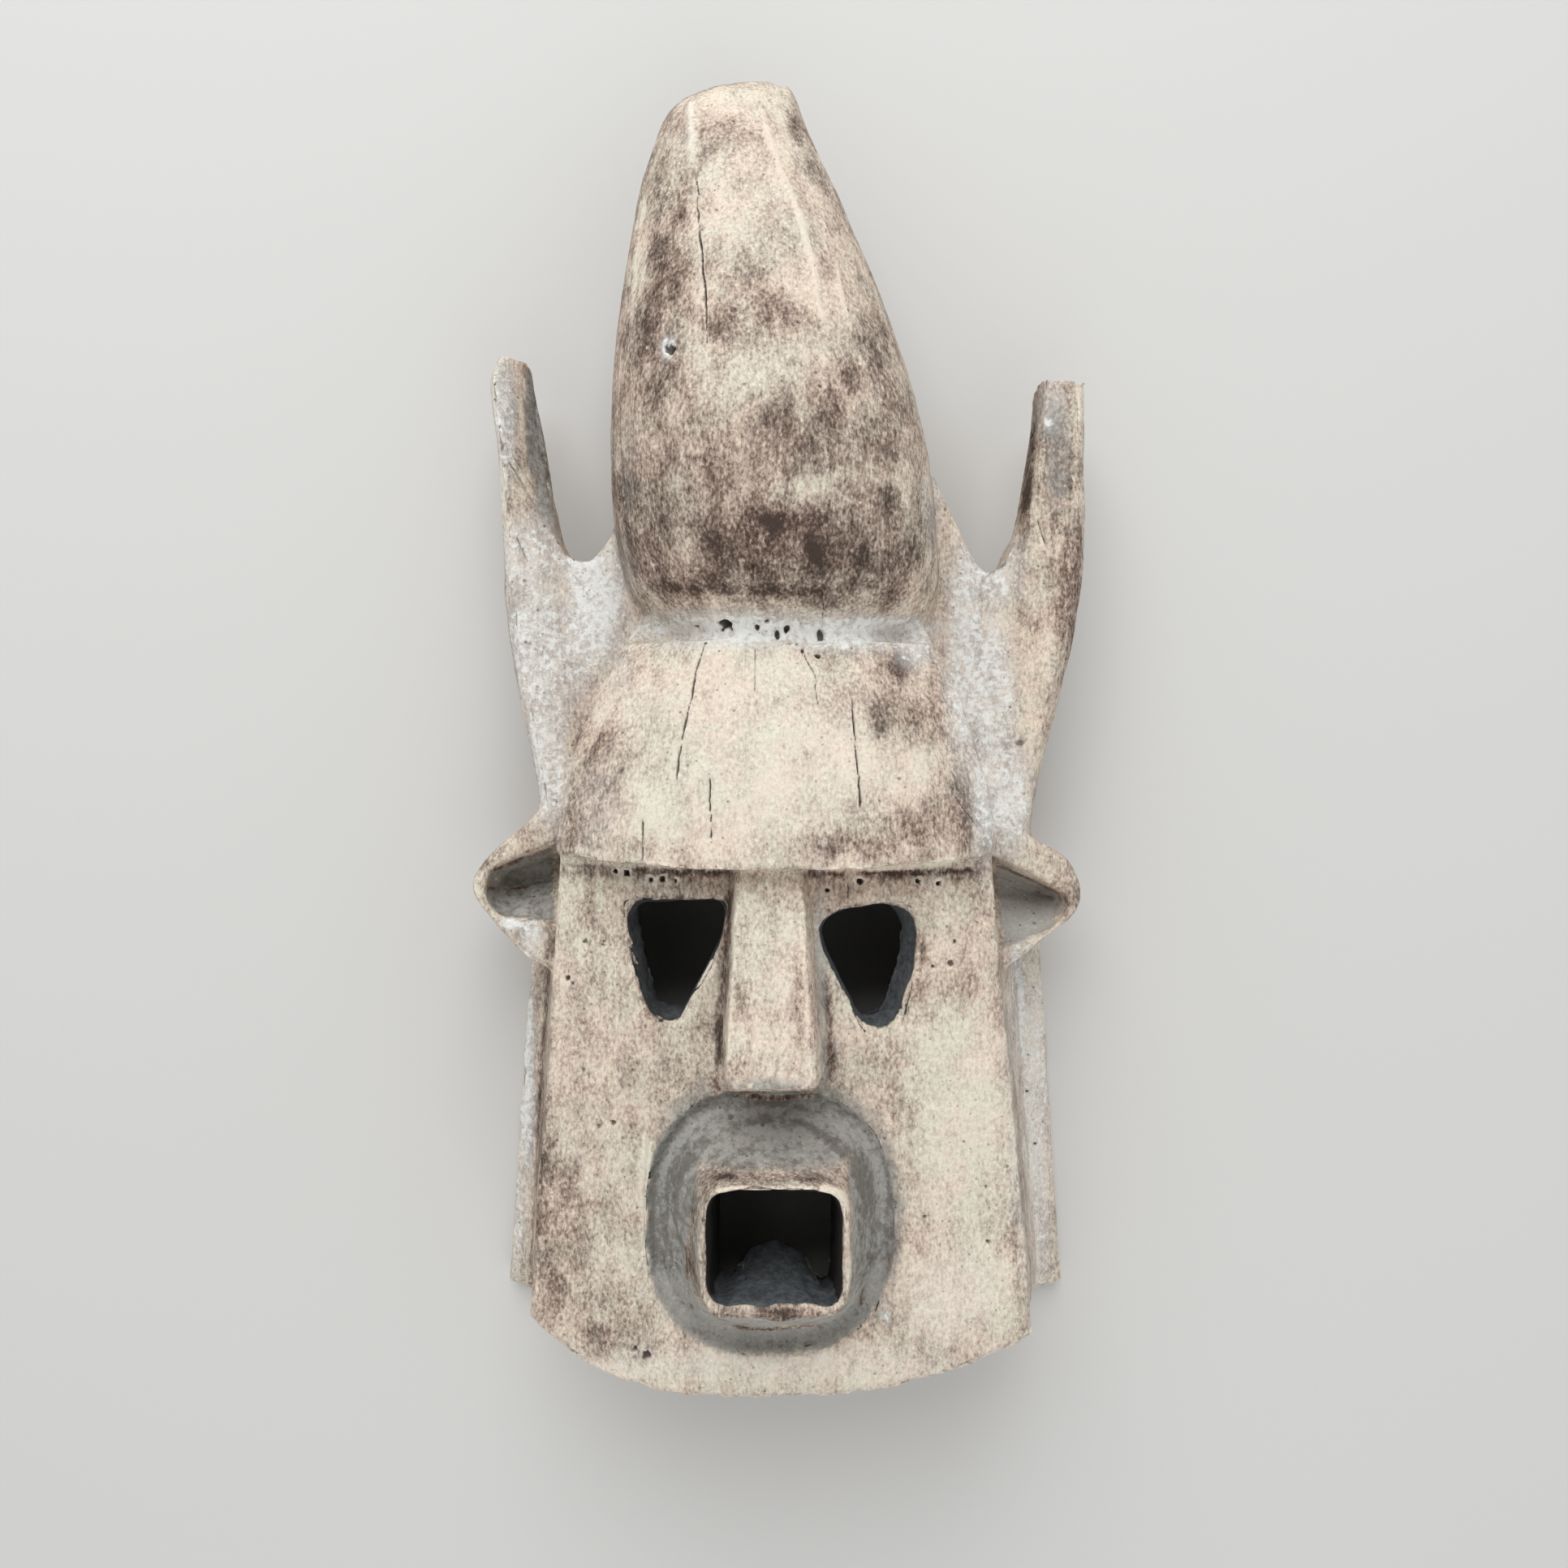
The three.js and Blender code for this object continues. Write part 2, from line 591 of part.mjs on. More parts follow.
// The snout: hollow-sided, round at its foot and square at its lip
function snout() {
  const foot = { x: RING_RADIUS.x - RING_STEP - SNOUT_GAP, y: RING_RADIUS.y - RING_STEP - SNOUT_GAP };
  const rings = [superellipseRing(MOUTH, foot, RING_POWER, RING_FLOOR_Z - 4, RING_POINTS)];
  for (let r = 0; r <= SNOUT_ROWS; r += 1) {
    const t = r / SNOUT_ROWS;
    const centre = { x: mix(MOUTH.x, LIP.x, t), y: mix(MOUTH.y, LIP.y, t) };
    const taper = (1 - t) ** SNOUT_TAPER;
    const radius = { x: mix(LIP_RADIUS.x, foot.x, taper), y: mix(LIP_RADIUS.y, foot.y, taper) };
    const power = mix(RING_POWER, LIP_POWER, t);
    rings.push(superellipseRing(centre, radius, power, mix(RING_FLOOR_Z, LIP.z, t), RING_POINTS));
  }
  return loft(rings);
}

function mouthHole() {
  return loft(HOLE_LEVELS.map(({ z, x, y, power, cornerDrop }) => (
    superellipseRing(HOLE, { x, y }, power, z, HOLE_POINTS).map((point) => {
      const across = (point.x - HOLE.x) / x;
      const down = Math.max(HOLE.y - point.y, 0) / y;
      return point.setY(point.y - cornerDrop * Math.abs(across) ** 3 * down);
    })
  )));
}

function eye({ front, back }) {
  return loft([
    cornerRing(back, BEHIND_FACE_Z, EYE_BACK_ROUNDING, EYE_STEPS),
    cornerRing(front, FACE_MIDDLE_Z + 1, EYE_ROUNDING, EYE_STEPS),
  ]);
}

// The hollow for the wearer's face, open behind
function cavity() {
  const outline = { topY: CAVITY_TOP_Y, arch: CAVITY_ARCH, sideSteps: 8, chinSteps: 12, topSteps: 10 };
  return loft(CAVITY_LEVELS.map(({ z, inset }) => (
    headRing({ ...outline, z, flare: flareAt(z) * CAVITY_FLARE, inset })
  )));
}

function foreheadHollow() {
  return loft(POCKET_LEVELS.map(({ z, x, y, power }) => (
    superellipseRing(POCKET, { x, y }, power, z, POCKET_POINTS)
  )));
}

function floorTrim() {
  const slab = new THREE.BoxGeometry(600, 800, 40);
  slab.translate(0, 0, -20);
  return solidFromGeometry(slab);
}

function carvedMask() {
  const ears = [
    ear(LEFT_EAR, LEFT_EAR_HOLLOW, LEFT_EAR_VALLEY),
    ear(RIGHT_EAR, RIGHT_EAR_HOLLOW, RIGHT_EAR_VALLEY),
  ];
  const rightHorn = horn(RIGHT_HORN).subtract(hornBreak());
  const outside = [
    headBack(), foreheadDome(), crest(), web(LEFT_WEB), web(RIGHT_WEB), horn(LEFT_HORN), rightHorn,
    ...ears.map(({ leaf }) => leaf),
  ];
  let block = faceBox().subtract(mouthRing());
  for (const part of [...outside, nose(), snout()]) {
    block = block.add(part);
  }
  const cuts = [
    ...ears.map(({ cup }) => cup), cavity(), foreheadHollow(), eye(LEFT_EYE), eye(RIGHT_EYE), mouthHole(),
    floorTrim(),
  ];
  for (const cut of cuts) {
    block = block.subtract(cut);
  }
  return block;
}

function geometryFromSolid(solid) {
  const { vertProperties, triVerts } = solid.getMesh();
  const geometry = new THREE.BufferGeometry();
  geometry.setAttribute('position', new THREE.BufferAttribute(vertProperties, 3));
  geometry.setIndex(new THREE.BufferAttribute(triVerts, 1));
  return geometry;
}

const mask = new THREE.Mesh(geometryFromSolid(carvedMask()), new THREE.MeshStandardMaterial(WOOD));
mask.name = 'mask_body';

// The origin goes to the middle of the underside
const box = new THREE.Box3().setFromObject(mask);
mask.geometry.translate(-(box.min.x + box.max.x) / 2, -(box.min.y + box.max.y) / 2, -box.min.z);

const group = new THREE.Group();
group.add(mask);

export default group;
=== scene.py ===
"""A Dogon face mask of carved and weathered wood, lying on its back on a plain pale floor.

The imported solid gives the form. It is rebuilt here as an even, fine mesh, its facets are eased, and the
tool marks, cracks, insect holes, knife cuts and worn edges are cut into that mesh. Places that were
read off the photograph are given in its pixels and carried onto the wood by the camera's own view.
"""

from itertools import product

import bmesh
import bpy
import numpy as np
from bpy.props import FloatProperty, FloatVectorProperty, IntProperty, PointerProperty
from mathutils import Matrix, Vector
from mathutils.kdtree import KDTree


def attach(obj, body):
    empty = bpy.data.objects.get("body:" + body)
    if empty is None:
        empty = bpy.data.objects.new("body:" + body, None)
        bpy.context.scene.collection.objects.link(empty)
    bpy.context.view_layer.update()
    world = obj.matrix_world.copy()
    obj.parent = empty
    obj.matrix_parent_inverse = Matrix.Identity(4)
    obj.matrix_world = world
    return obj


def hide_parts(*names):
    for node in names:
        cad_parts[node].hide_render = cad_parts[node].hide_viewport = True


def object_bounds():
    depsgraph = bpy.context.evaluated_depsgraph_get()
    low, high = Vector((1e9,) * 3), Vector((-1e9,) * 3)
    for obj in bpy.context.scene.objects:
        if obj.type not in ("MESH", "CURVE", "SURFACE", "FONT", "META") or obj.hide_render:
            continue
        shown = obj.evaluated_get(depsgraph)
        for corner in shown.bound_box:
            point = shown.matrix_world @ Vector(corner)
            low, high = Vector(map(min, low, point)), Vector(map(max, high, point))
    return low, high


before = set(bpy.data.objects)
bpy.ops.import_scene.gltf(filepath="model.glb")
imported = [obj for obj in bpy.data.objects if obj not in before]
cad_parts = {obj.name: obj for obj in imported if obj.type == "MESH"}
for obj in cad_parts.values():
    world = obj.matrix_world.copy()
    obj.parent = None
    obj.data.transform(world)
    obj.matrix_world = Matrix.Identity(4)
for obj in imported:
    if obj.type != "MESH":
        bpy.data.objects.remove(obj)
CAD_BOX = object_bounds()

bl_info = {
    "name": "Dogon face mask",
    "version": (1, 0, 0),
    "blender": (4, 5, 0),
    "location": "View3D > Sidebar > Mask",
    "description": "Carves, ages and lights a wooden face mask",
    "category": "Object",
}

NODE = "mask_body"
PIECE = "carved_mask"
MM = 0.001
SENSOR_WIDTH = 36.0

# The photograph: its size in pixels, its focal length in pixels, the pixel under the camera, where the
# camera stood over the mask in millimetres, and the nearest that it sees, in metres
PHOTO_SIDE = 1932
PHOTO_FOCAL = 1451.0
PHOTO_MIDDLE = (964.0, 966.0)
CAMERA_AT = (1.1, -20.7, 505.0)
NEAREST_SEEN = 0.01

# The part of the surround that gives little light: the direction of its middle, and the cosines of the
# angles from there at which it ends and begins
OVERHEAD = (0.0, 0.259, 0.966)
OVERHEAD_SPREAD = (0.82, 0.92)

# The two lamps, in metres: where they stand, what they are aimed at and the side of each
KEY_AT = (-0.2, 1.35, 1.3)
FILL_AT = (0.3, -1.4, 1.1)
LAMPS_AIM = (0.0, 0.0, 0.05)
LAMP_SIDE = 1.6

# Where things are on the mask, in millimetres of the row's frame
BROW_Y = -51.0
GROOVE_Y = 34.0
FACE_EDGES_Z = 84.0
NOSE_SIDE_X = 22.0
EAR_ROOT_X = 80.0
EAR_LOW_Y = -88.0
EAR_HIGH_Y = -38.0
RING_TOP_Y = -127.0
MOUTH_AT = (-3.4, -175.0)
MOUTH_RING = (44.2, 47.0)
LIP_AT = (-1.3, -174.5)
LIP_Z = 121.0
LIP_OUTSIDE = (25.2, 22.5)
HOLE_AT = (-1.8, -172.4)
HOLE_SIZE = (21.2, 18.0)
EYES = {"left": (-56.0, -18.0, -109.0, -61.0), "right": (13.0, 54.0, -111.0, -64.5)}
HOLLOW_LOW_Y = -236.0
HOLLOW_HIGH_Y = 25.0
HOLLOW_TOP_Z = 95.0
HOLLOW_SIDE_X = 67.0
HOLLOW_FLARE = 0.36
HEAD_DRAWN_IN = 27.0
HOLLOW_CORE_Y = (-190.0, -20.0)
HOLLOW_CORE_Z = 30.0
HOLLOW_FLARE_Z = 60.0
HEAD_LENGTH = 90.0
BROW_FRONT_Z = 100.0
MOUTH_ROOT_Z = 68.0
LOW_LIP_Y = LIP_AT[1] - 12.0

# The same for soft edges: where a part of the mask starts, and from where it is full
EYE_FRONT_Z = (91.0, 88.5)
EYE_DEEP_Z = (86.5, 84.5)
FACE_Z = (80.0, 90.0)
FOREHEAD_Z = (70.0, 86.0)
CREST_SIDE_X = (76.0, 60.0)
HORN_SIDE_X = (66.0, 76.0)
HORN_FOOT_Y = (-36.0, -20.0)

# Where the edges are chipped most, in pixels: heights between which it fades in, at the chin and at the
# crest's tip, and the middle of the large chip on the crest's left
CHIN_V = (1560.0, 1690.0)
CREST_TIP_V = (240.0, 120.0)
CREST_CHIP_AT = (781.0, 258.0)
CREST_CHIP_REACH = (40.0, 10.0)

# How square the corners of the sunken ring round the mouth are: 2 is an ellipse
RING_CORNERS = 2.5

# How squarely the wood faces the camera where a thing starts and where it is full: cuts and lines, the
# finish, and the calmer stain of what faces away
SEEN_FOR_CUTS = (-0.05, 0.25)
SEEN_FOR_FINISH = (-0.1, 0.35)
SHELTERED = (0.14, -0.1)

# Turns of the solid's surface, in radians, that keep an edge sharp: any outer edge, an inner one of the
# face and an inner one of an ear
SHARP_TURN = 0.52
SHARP_ON_FACE = -0.8
SHARP_ON_EAR = -0.5

# In millimetres, the farthest that the distance to a sharp edge is told, and from where to where the
# easing is held back near one, by what share, and the rounds of easing that come after
EDGE_REACH = 12.0
EDGE_HELD = (5.0, 0.8)
EDGE_HOLD = 0.97
LAST_EASING = 2

# In millimetres, the width of the band of finer mesh along a crack or a cut and the least depth that
# counts as one, the heights over which the foot of the wood is kept flat on the floor, and the depth at
# which a cut is fully dirty
FINE_BAND = 4.0
LEAST_CUT = 0.02
FOOT_KEPT = (0.3, 3.0)
DIRTY_DEPTH = 1.6

# Rounds of easing that tell the small dips and rises of the wood from the large ones
FINE_DIP_ROUNDS = 3
BROAD_DIP_ROUNDS = 30

# Sizes of the tool marks and of the wear in millimetres: one length, or one for each of x, y and z
BROAD_DISHES = (15.0, 34.0, 15.0)
NARROW_DISHES = (7.0, 16.0, 9.0)
FIBRES = (1.7, 26.0, 2.4)
WORN_GRAIN = (3.6, 9.0, 3.6)
LUMPS = 11.0
PECKS = 2.3
CHIPS = (5.5, 8.0, 5.5)
RING_STREAKS = (2.6, 26.0, 26.0)

# What starts each noise, so that every run gives the same
SEEDS = {
    "broad_dishes": 5, "narrow_dishes": 9, "fibres": 21, "grain": 31, "lumps": 41, "pecks": 51, "chips": 61,
    "cut_bends": 71, "cut_waver": 72, "stroke_bends": 73, "stroke_waver": 74, "stroke_strength": 75,
    "cut_strength": 76, "ear_waver": 77, "pit_edge": 81, "pit_waver": 82, "ring_streaks": 91,
}

# Whole numbers that scatter the cells of the noise, the bits that are kept of them, and the step of the
# seed from one layer of the noise to the next
HASH_FACTORS = (73856093, 19349663, 83492791, 15485863, 1274126177)
HASH_BITS = 0xFFFFFF
LAYER_SEED = 17

# With fewer points than this, the even mesh came out empty
FEWEST_POINTS = 1000

# Cracks along the grain: points in pixels, then width and depth in millimetres
CRACKS = {
    "crest_long": ([(855, 205), (861, 276), (864, 324), (868, 377), (871, 432)], 0.8, 2.2),
    "crest_low": ([(927, 690), (930, 742)], 0.6, 0.9),
    "crest_foot": ([(1015, 728), (1016, 768)], 0.6, 1.0),
    "forehead_long": ([(869, 786), (857, 822), (850, 860), (840, 901), (834, 932), (833, 968)], 0.8, 2.2),
    "forehead_short": ([(872, 950), (874, 990), (877, 1039)], 0.85, 2.2),
    "forehead_middle": ([(930, 787), (929, 829), (934, 882)], 0.6, 1.0),
    "forehead_bent": ([(989, 799), (1003, 832), (1012, 878)], 0.65, 1.2),
    "forehead_right": ([(1050, 858), (1055, 904), (1061, 956), (1062, 1008)], 0.8, 2.0),
    "forehead_left": ([(803, 878), (796, 910)], 0.6, 1.0),
    "brow_left": ([(792, 1008), (790, 1064)], 0.8, 2.0),
    "brow_right": ([(1165, 948), (1182, 984), (1206, 1020)], 0.6, 1.0),
    "face_right": ([(1043, 1084), (1045, 1112)], 0.6, 1.2),
    "horn_right": ([(1277, 638), (1288, 672)], 0.7, 1.3),
}

# Knife cuts in the left horn and along the edges of facets: points in pixels, then width and depth in
# millimetres
CUTS = {
    "horn_long": ([(626, 562), (664, 624)], 1.1, 1.2),
    "horn_double": ([(634, 560), (668, 612)], 0.8, 0.9),
    "horn_nick": ([(637, 658), (653, 694)], 1.0, 1.0),
    "ring_left": ([(800, 1395), (793, 1470), (797, 1560)], 1.2, 0.6),
    "ear_left": ([(608, 1096), (678, 1080)], 1.4, 0.6),
    "ear_right": ([(1240, 1092), (1300, 1106)], 1.4, 0.6),
    "forehead_facet": ([(803, 905), (762, 955), (724, 1010)], 1.6, 0.4),
}

# Raised edges between the planes of the crest: points in pixels, then width and height in millimetres
RIDGES = {
    "crest_left": ([(850, 118), (852, 160), (853, 205)], 3.4, 0.8),
    "crest_right": ([(936, 136), (962, 209), (987, 265), (1001, 318), (1009, 375), (1024, 418)], 2.2, 0.8),
    "crest_outer": ([(1029, 320), (1040, 370), (1050, 410)], 2.6, 0.6),
}

# Insect holes and pits: middle in pixels, then radius and depth in millimetres
PITS = {
    "groove_large": (893, 770, 2.9, 7.0),
    "groove_1": (932, 775, 1.2, 2.6),
    "groove_2": (944, 768, 1.4, 2.8),
    "groove_3": (957, 780, 1.1, 2.4),
    "groove_4": (969, 776, 1.3, 2.6),
    "groove_5": (973, 787, 1.3, 2.4),
    "groove_6": (982, 790, 1.0, 2.2),
    "groove_7": (1013, 781, 1.2, 2.2),
    "groove_8": (1008, 806, 1.2, 1.8),
    "groove_9": (989, 799, 0.9, 1.6),
    "groove_10": (857, 774, 1.1, 1.8),
    "groove_11": (868, 788, 1.2, 2.0),
    "crest_white": (823, 427, 2.3, 2.2),
    "crest_dot": (1012, 473, 0.9, 1.0),
    "brow_1": (757, 1074, 1.1, 2.4),
    "brow_2": (771, 1077, 1.1, 2.4),
    "brow_3": (801, 1085, 1.0, 2.2),
    "brow_4": (816, 1084, 1.2, 2.2),
    "brow_5": (832, 1086, 0.9, 1.8),
    "brow_6": (1060, 1087, 1.2, 2.4),
    "brow_7": (1020, 1098, 1.2, 2.0),
    "brow_8": (1131, 1086, 1.2, 2.2),
    "brow_9": (1158, 1089, 1.0, 2.0),
    "cheek_1": (720, 1160, 1.3, 1.0),
    "cheek_2": (727, 1174, 1.0, 0.8),
    "cheek_3": (743, 1160, 1.0, 0.9),
    "cheek_4": (698, 1206, 1.2, 1.2),
    "cheek_5": (704, 1212, 0.9, 1.2),
    "cheek_6": (737, 1388, 1.2, 0.9),
    "cheek_7": (755, 1384, 1.3, 1.0),
    "cheek_8": (1172, 1187, 1.6, 1.1),
    "cheek_9": (1178, 1160, 0.9, 1.2),
    "cheek_10": (1150, 1192, 0.9, 1.2),
    "cheek_11": (1217, 1464, 1.0, 0.9),
    "cheek_12": (1219, 1532, 1.1, 1.0),
    "cheek_13": (1140, 1500, 1.2, 0.9),
    "ring_knot": (900, 1373, 2.4, 0.8),
    "web_knot": (1257, 915, 2.6, 0.9),
    "chin_1": (796, 1672, 2.0, 1.6),
    "chin_2": (782, 1664, 1.5, 1.2),
    "rim_1": (1269, 1300, 0.9, 1.2),
    "rim_2": (1268, 1345, 1.0, 1.4),
    "rim_3": (1278, 1410, 0.9, 1.2),
}

# The stain of the wood runs from 0, bleached cream, to 1, the darkest patina: what bare wood has, what
# each of the patches below takes off or adds, and where each colour lies on the way
BARE_STAIN = 0.29
CREAM_STAIN = -0.29
PATINA_STAIN = 0.35
UMBER_STAIN = 0.24
RESIDUE_STAIN = 0.14
STAIN_COLOURS = {"cream": 0.0, "straw": 0.22, "tan": 0.38, "patina": 0.6, "fleck": 0.8, "umber": 1.0}

# Scales of x, y and z that draw the stain's clouds and specks out along the grain
STAIN_SQUEEZE = (1.0, 0.55, 1.0)

# How many clouds of noise a metre holds, for the wandering hue, the smoky greys, the fine speckle and the
# worn surface
HUES_PER_METRE = 38.0
SMOKE_PER_METRE = 300.0
SPECKLE_PER_METRE = 820.0
WEAR_PER_METRE = 620.0

# How much slate grey the walls of each eye take as painted light; the right eye's walls are painted lighter
EYE_WALL_LIGHT = {"left": 0.55, "right": 0.85}

# How strongly each layer of the finish covers what lies under it
COVER = {
    "grey": 0.88, "dip grime and shade": 0.4, "dust and light": 0.5, "pale flecks": 0.85, "rubbed edges": 0.6, "specks": 0.55,
    "cuts": 0.8, "soot_and_shade": 0.97, "lit_slate": 0.9,
}

# Lines of lighter or darker wood along edges and folds, among them painted shadow and shade lines under the
# brow, beside and under the nose, in the ears, in the folds at the face's sides, on the right horn's inner
# side and on the
# crest: points in pixels, half width in millimetres, and what they add to the stain
STROKES = {
    "crest_left_edge": ([(850, 118), (852, 160), (853, 205)], 0.8, -0.3),
    "crest_right_edge": (
        [(936, 136), (962, 209), (987, 265), (1001, 318), (1009, 375), (1024, 418)], 0.7, -0.5),
    "crest_outer_edge": ([(1029, 320), (1040, 370), (1050, 410)], 0.6, -0.35),
    "crest_left_side": ([(793, 250), (783, 330), (778, 400)], 0.9, -0.35),
    # Painted shade along the crest's sides, and patina darkened further as painted shade where its lower
    # end turns down
    "crest_left_shade": ([(842, 210), (846, 300), (852, 420)], 1.6, 0.2),
    "crest_right_shade": ([(988, 230), (1012, 310), (1030, 400)], 0.9, 0.2),
    "crest_lip_patina_and_shade": ([(800, 722), (880, 728), (1000, 728), (1110, 716)], 1.6, 0.25),
    "crest_fold_patina_and_shade": ([(930, 640), (985, 650), (1010, 690)], 2.4, 0.35),
    "brow_edge_left": ([(700, 1046), (760, 1056), (840, 1066)], 1.0, -0.2),
    "brow_edge_right": ([(1000, 1074), (1100, 1070), (1190, 1058)], 1.1, -0.45),
    "forehead_left_1": ([(803, 905), (762, 955), (724, 1010)], 0.7, 0.2),
    "forehead_left_2": ([(775, 850), (738, 910), (708, 985)], 0.8, 0.16),
    "forehead_right": ([(1172, 910), (1196, 960), (1208, 1020)], 0.9, 0.22),
    "brow_shadow_left": ([(684, 1066), (760, 1070), (840, 1074), (900, 1075)], 0.6, 0.45),
    "brow_shadow_right": ([(988, 1076), (1060, 1077), (1140, 1075), (1216, 1071)], 0.6, 0.45),
    # Painted shade in the folds beside the nose and at its foot, and painted shadow under its end
    "nose_left_fold_shade": ([(899, 1086), (893, 1200), (885, 1320)], 1.7, 0.55),
    "nose_left_edge": ([(905, 1090), (902, 1200), (894, 1325)], 0.9, -0.3),
    "nose_right_edge": ([(984, 1090), (990, 1200), (999, 1330)], 0.9, -0.3),
    "nose_right_fold_shade": ([(1014, 1190), (1022, 1270), (1024, 1325)], 1.4, 0.45),
    "nose_end_edge": ([(898, 1338), (950, 1342), (1000, 1338)], 1.2, -0.35),
    "nose_shadow": ([(893, 1349), (950, 1353), (1008, 1348)], 1.2, 0.6),
    "nose_foot_shade": ([(874, 1316), (882, 1345), (892, 1350)], 2.2, 0.4),
    # Painted shade in the ears' folds and along their upper walls
    "ear_left_fold_shade": ([(598, 1095), (630, 1093), (658, 1093)], 0.7, 0.5),
    "ear_left_top_shade": ([(606, 1075), (640, 1059), (681, 1045)], 0.7, 0.5),
    "ear_left_rim": ([(590, 1060), (584, 1090), (600, 1124)], 0.8, -0.3),
    "ear_right_fold_shade": ([(1229, 1079), (1262, 1092), (1308, 1112)], 0.6, 0.4),
    "ear_right_top_shade": ([(1228, 1066), (1262, 1081), (1302, 1100)], 0.7, 0.55),
    "ear_right_low": ([(1236, 1163), (1266, 1150), (1299, 1138)], 0.7, 0.35),
    # Painted shadow in the folds along the face's sides
    "rim_left_fold_shade": ([(680, 1125), (670, 1300), (661, 1500), (655, 1590)], 1.4, 0.35),
    "rim_right_fold_shade": ([(1228, 1160), (1246, 1300), (1260, 1450), (1270, 1590)], 0.8, 0.25),
    "horn_left_edge": ([(603, 470), (612, 560), (622, 640)], 1.1, -0.4),
    "horn_left_inner": ([(650, 450), (664, 560), (690, 650)], 1.8, 0.22),
    "horn_left_streak": ([(632, 480), (640, 600)], 0.5, 0.25),
    "horn_left_streak_2": ([(622, 520), (628, 640)], 0.5, 0.2),
    "horn_left_streak_3": ([(645, 480), (655, 560)], 0.5, 0.25),
    # Painted shade on the right horn's inner side
    "horn_right_inner_shade": ([(1278, 470), (1268, 560), (1258, 640)], 2.2, 0.5),
    "horn_right_streak": ([(1306, 480), (1300, 600), (1296, 700)], 0.6, 0.25),
    "horn_right_streak_2": ([(1292, 500), (1286, 600)], 0.5, 0.3),
    "horn_right_streak_3": ([(1322, 520), (1316, 640), (1306, 760)], 0.5, 0.25),
    "horn_right_edge": ([(1330, 640), (1324, 760), (1306, 880)], 1.3, 0.15),
    "lip_top": ([(878, 1466), (950, 1464), (1010, 1464)], 0.9, -0.4),
    "lip_corner": ([(1010, 1466), (1036, 1475), (1045, 1498)], 2.2, -0.85),
    "lip_right": ([(1044, 1500), (1047, 1560), (1044, 1608)], 1.1, -0.4),
    "lip_left": ([(865, 1476), (864, 1540), (868, 1606)], 0.8, -0.3),
    "lip_low": ([(880, 1633), (950, 1638), (1030, 1632)], 1.0, 0.35),
    "lip_outside_left": ([(852, 1480), (848, 1550), (856, 1620)], 1.6, 0.4),
    "lip_outside_right": ([(1062, 1480), (1066, 1550), (1058, 1620)], 1.2, 0.3),
    "lip_outside_top": ([(870, 1452), (950, 1448), (1030, 1454)], 1.0, 0.3),
    "nose_end_brown": ([(905, 1318), (940, 1308), (985, 1322)], 2.0, 0.12),
    "eye_left_rim": ([(774, 1110), (776, 1160), (796, 1240), (812, 1258)], 0.9, 0.3),
    "eye_left_top": ([(776, 1106), (830, 1106), (890, 1112)], 0.8, 0.35),
    "eye_right_top": ([(1012, 1128), (1050, 1116), (1100, 1116)], 0.8, 0.3),
    "eye_right_rim": ([(1136, 1140), (1136, 1190), (1112, 1256)], 0.9, 0.25),
    "ring_left": ([(798, 1400), (794, 1480), (799, 1560)], 1.4, -0.4),
}

# Facets of the ears' hollows: corners in pixels, then how grey each is
EAR_FACETS = {
    "left_upper": (
        [(682, 1044), (640, 1058), (606, 1074), (599, 1086), (608, 1084), (645, 1072), (682, 1061)], 1.0),
    "left_middle": ([(682, 1061), (645, 1072), (608, 1084), (598, 1094), (658, 1094), (682, 1090)], 0.95),
    "left_lower": (
        [(682, 1090), (658, 1094), (598, 1095), (600, 1110), (617, 1128), (640, 1131), (680, 1133)], 1.0),
    "right_upper": (
        [(1228, 1066), (1262, 1081), (1302, 1099), (1312, 1120), (1290, 1105), (1229, 1079)], 1.0),
    "right_middle": ([(1229, 1079), (1290, 1105), (1311, 1122), (1299, 1130), (1236, 1152)], 1.0),
    "right_lower": ([(1236, 1152), (1299, 1130), (1300, 1140), (1268, 1154), (1236, 1168)], 0.95),
}

# Patches of each finish: middle u and v, half width and half height, all in pixels, and how strong; in half
# sizes from its middle, a patch ends at the first distance and is full from the second
PATCH_EDGE = (1.45, 0.45)
CREAM = [
    (893, 118, 80, 26, 0.7), (852, 165, 9, 45, 0.6), (905, 240, 45, 60, 0.35), (962, 205, 14, 70, 0.5),
    (1000, 310, 12, 70, 0.5), (1030, 360, 22, 60, 0.35), (940, 462, 70, 30, 0.25), (790, 300, 8, 70, 0.7),
    (915, 492, 60, 22, 0.45), (1004, 604, 32, 18, 0.9), (1030, 618, 22, 18, 0.6), (848, 674, 20, 18, 0.3),
    (905, 740, 60, 10, 0.5), (900, 850, 120, 60, 0.75), (960, 940, 130, 75, 1.0),
    (880, 1010, 130, 50, 0.75), (1120, 960, 28, 45, 0.8), (780, 900, 60, 60, 0.45),
    (1205, 970, 12, 40, 0.4), (940, 1290, 45, 40, 0.7), (945, 1180, 35, 60, 0.5),
    (1180, 1380, 60, 140, 0.9), (1190, 1590, 70, 70, 0.8), (980, 1690, 180, 30, 0.85),
    (1275, 1350, 14, 200, 0.7), (830, 1560, 20, 90, 0.5), (795, 1470, 8, 90, 0.9), (700, 1320, 30, 80, 0.3),
    (610, 480, 10, 60, 0.5), (1333, 490, 6, 30, 1.0), (640, 680, 30, 40, 0.5), (1333, 614, 5, 6, 1.0),
    (1270, 860, 40, 90, 0.4), (660, 1620, 14, 50, 0.7), (760, 1690, 70, 14, 0.8), (1290, 1080, 40, 20, 0.4),
    (1010, 1270, 10, 60, 0.2), (1031, 1477, 22, 16, 1.4), (1047, 1530, 5, 50, 0.8), (955, 1464, 48, 4, 0.9),
    (1120, 1040, 12, 8, 0.5),
]
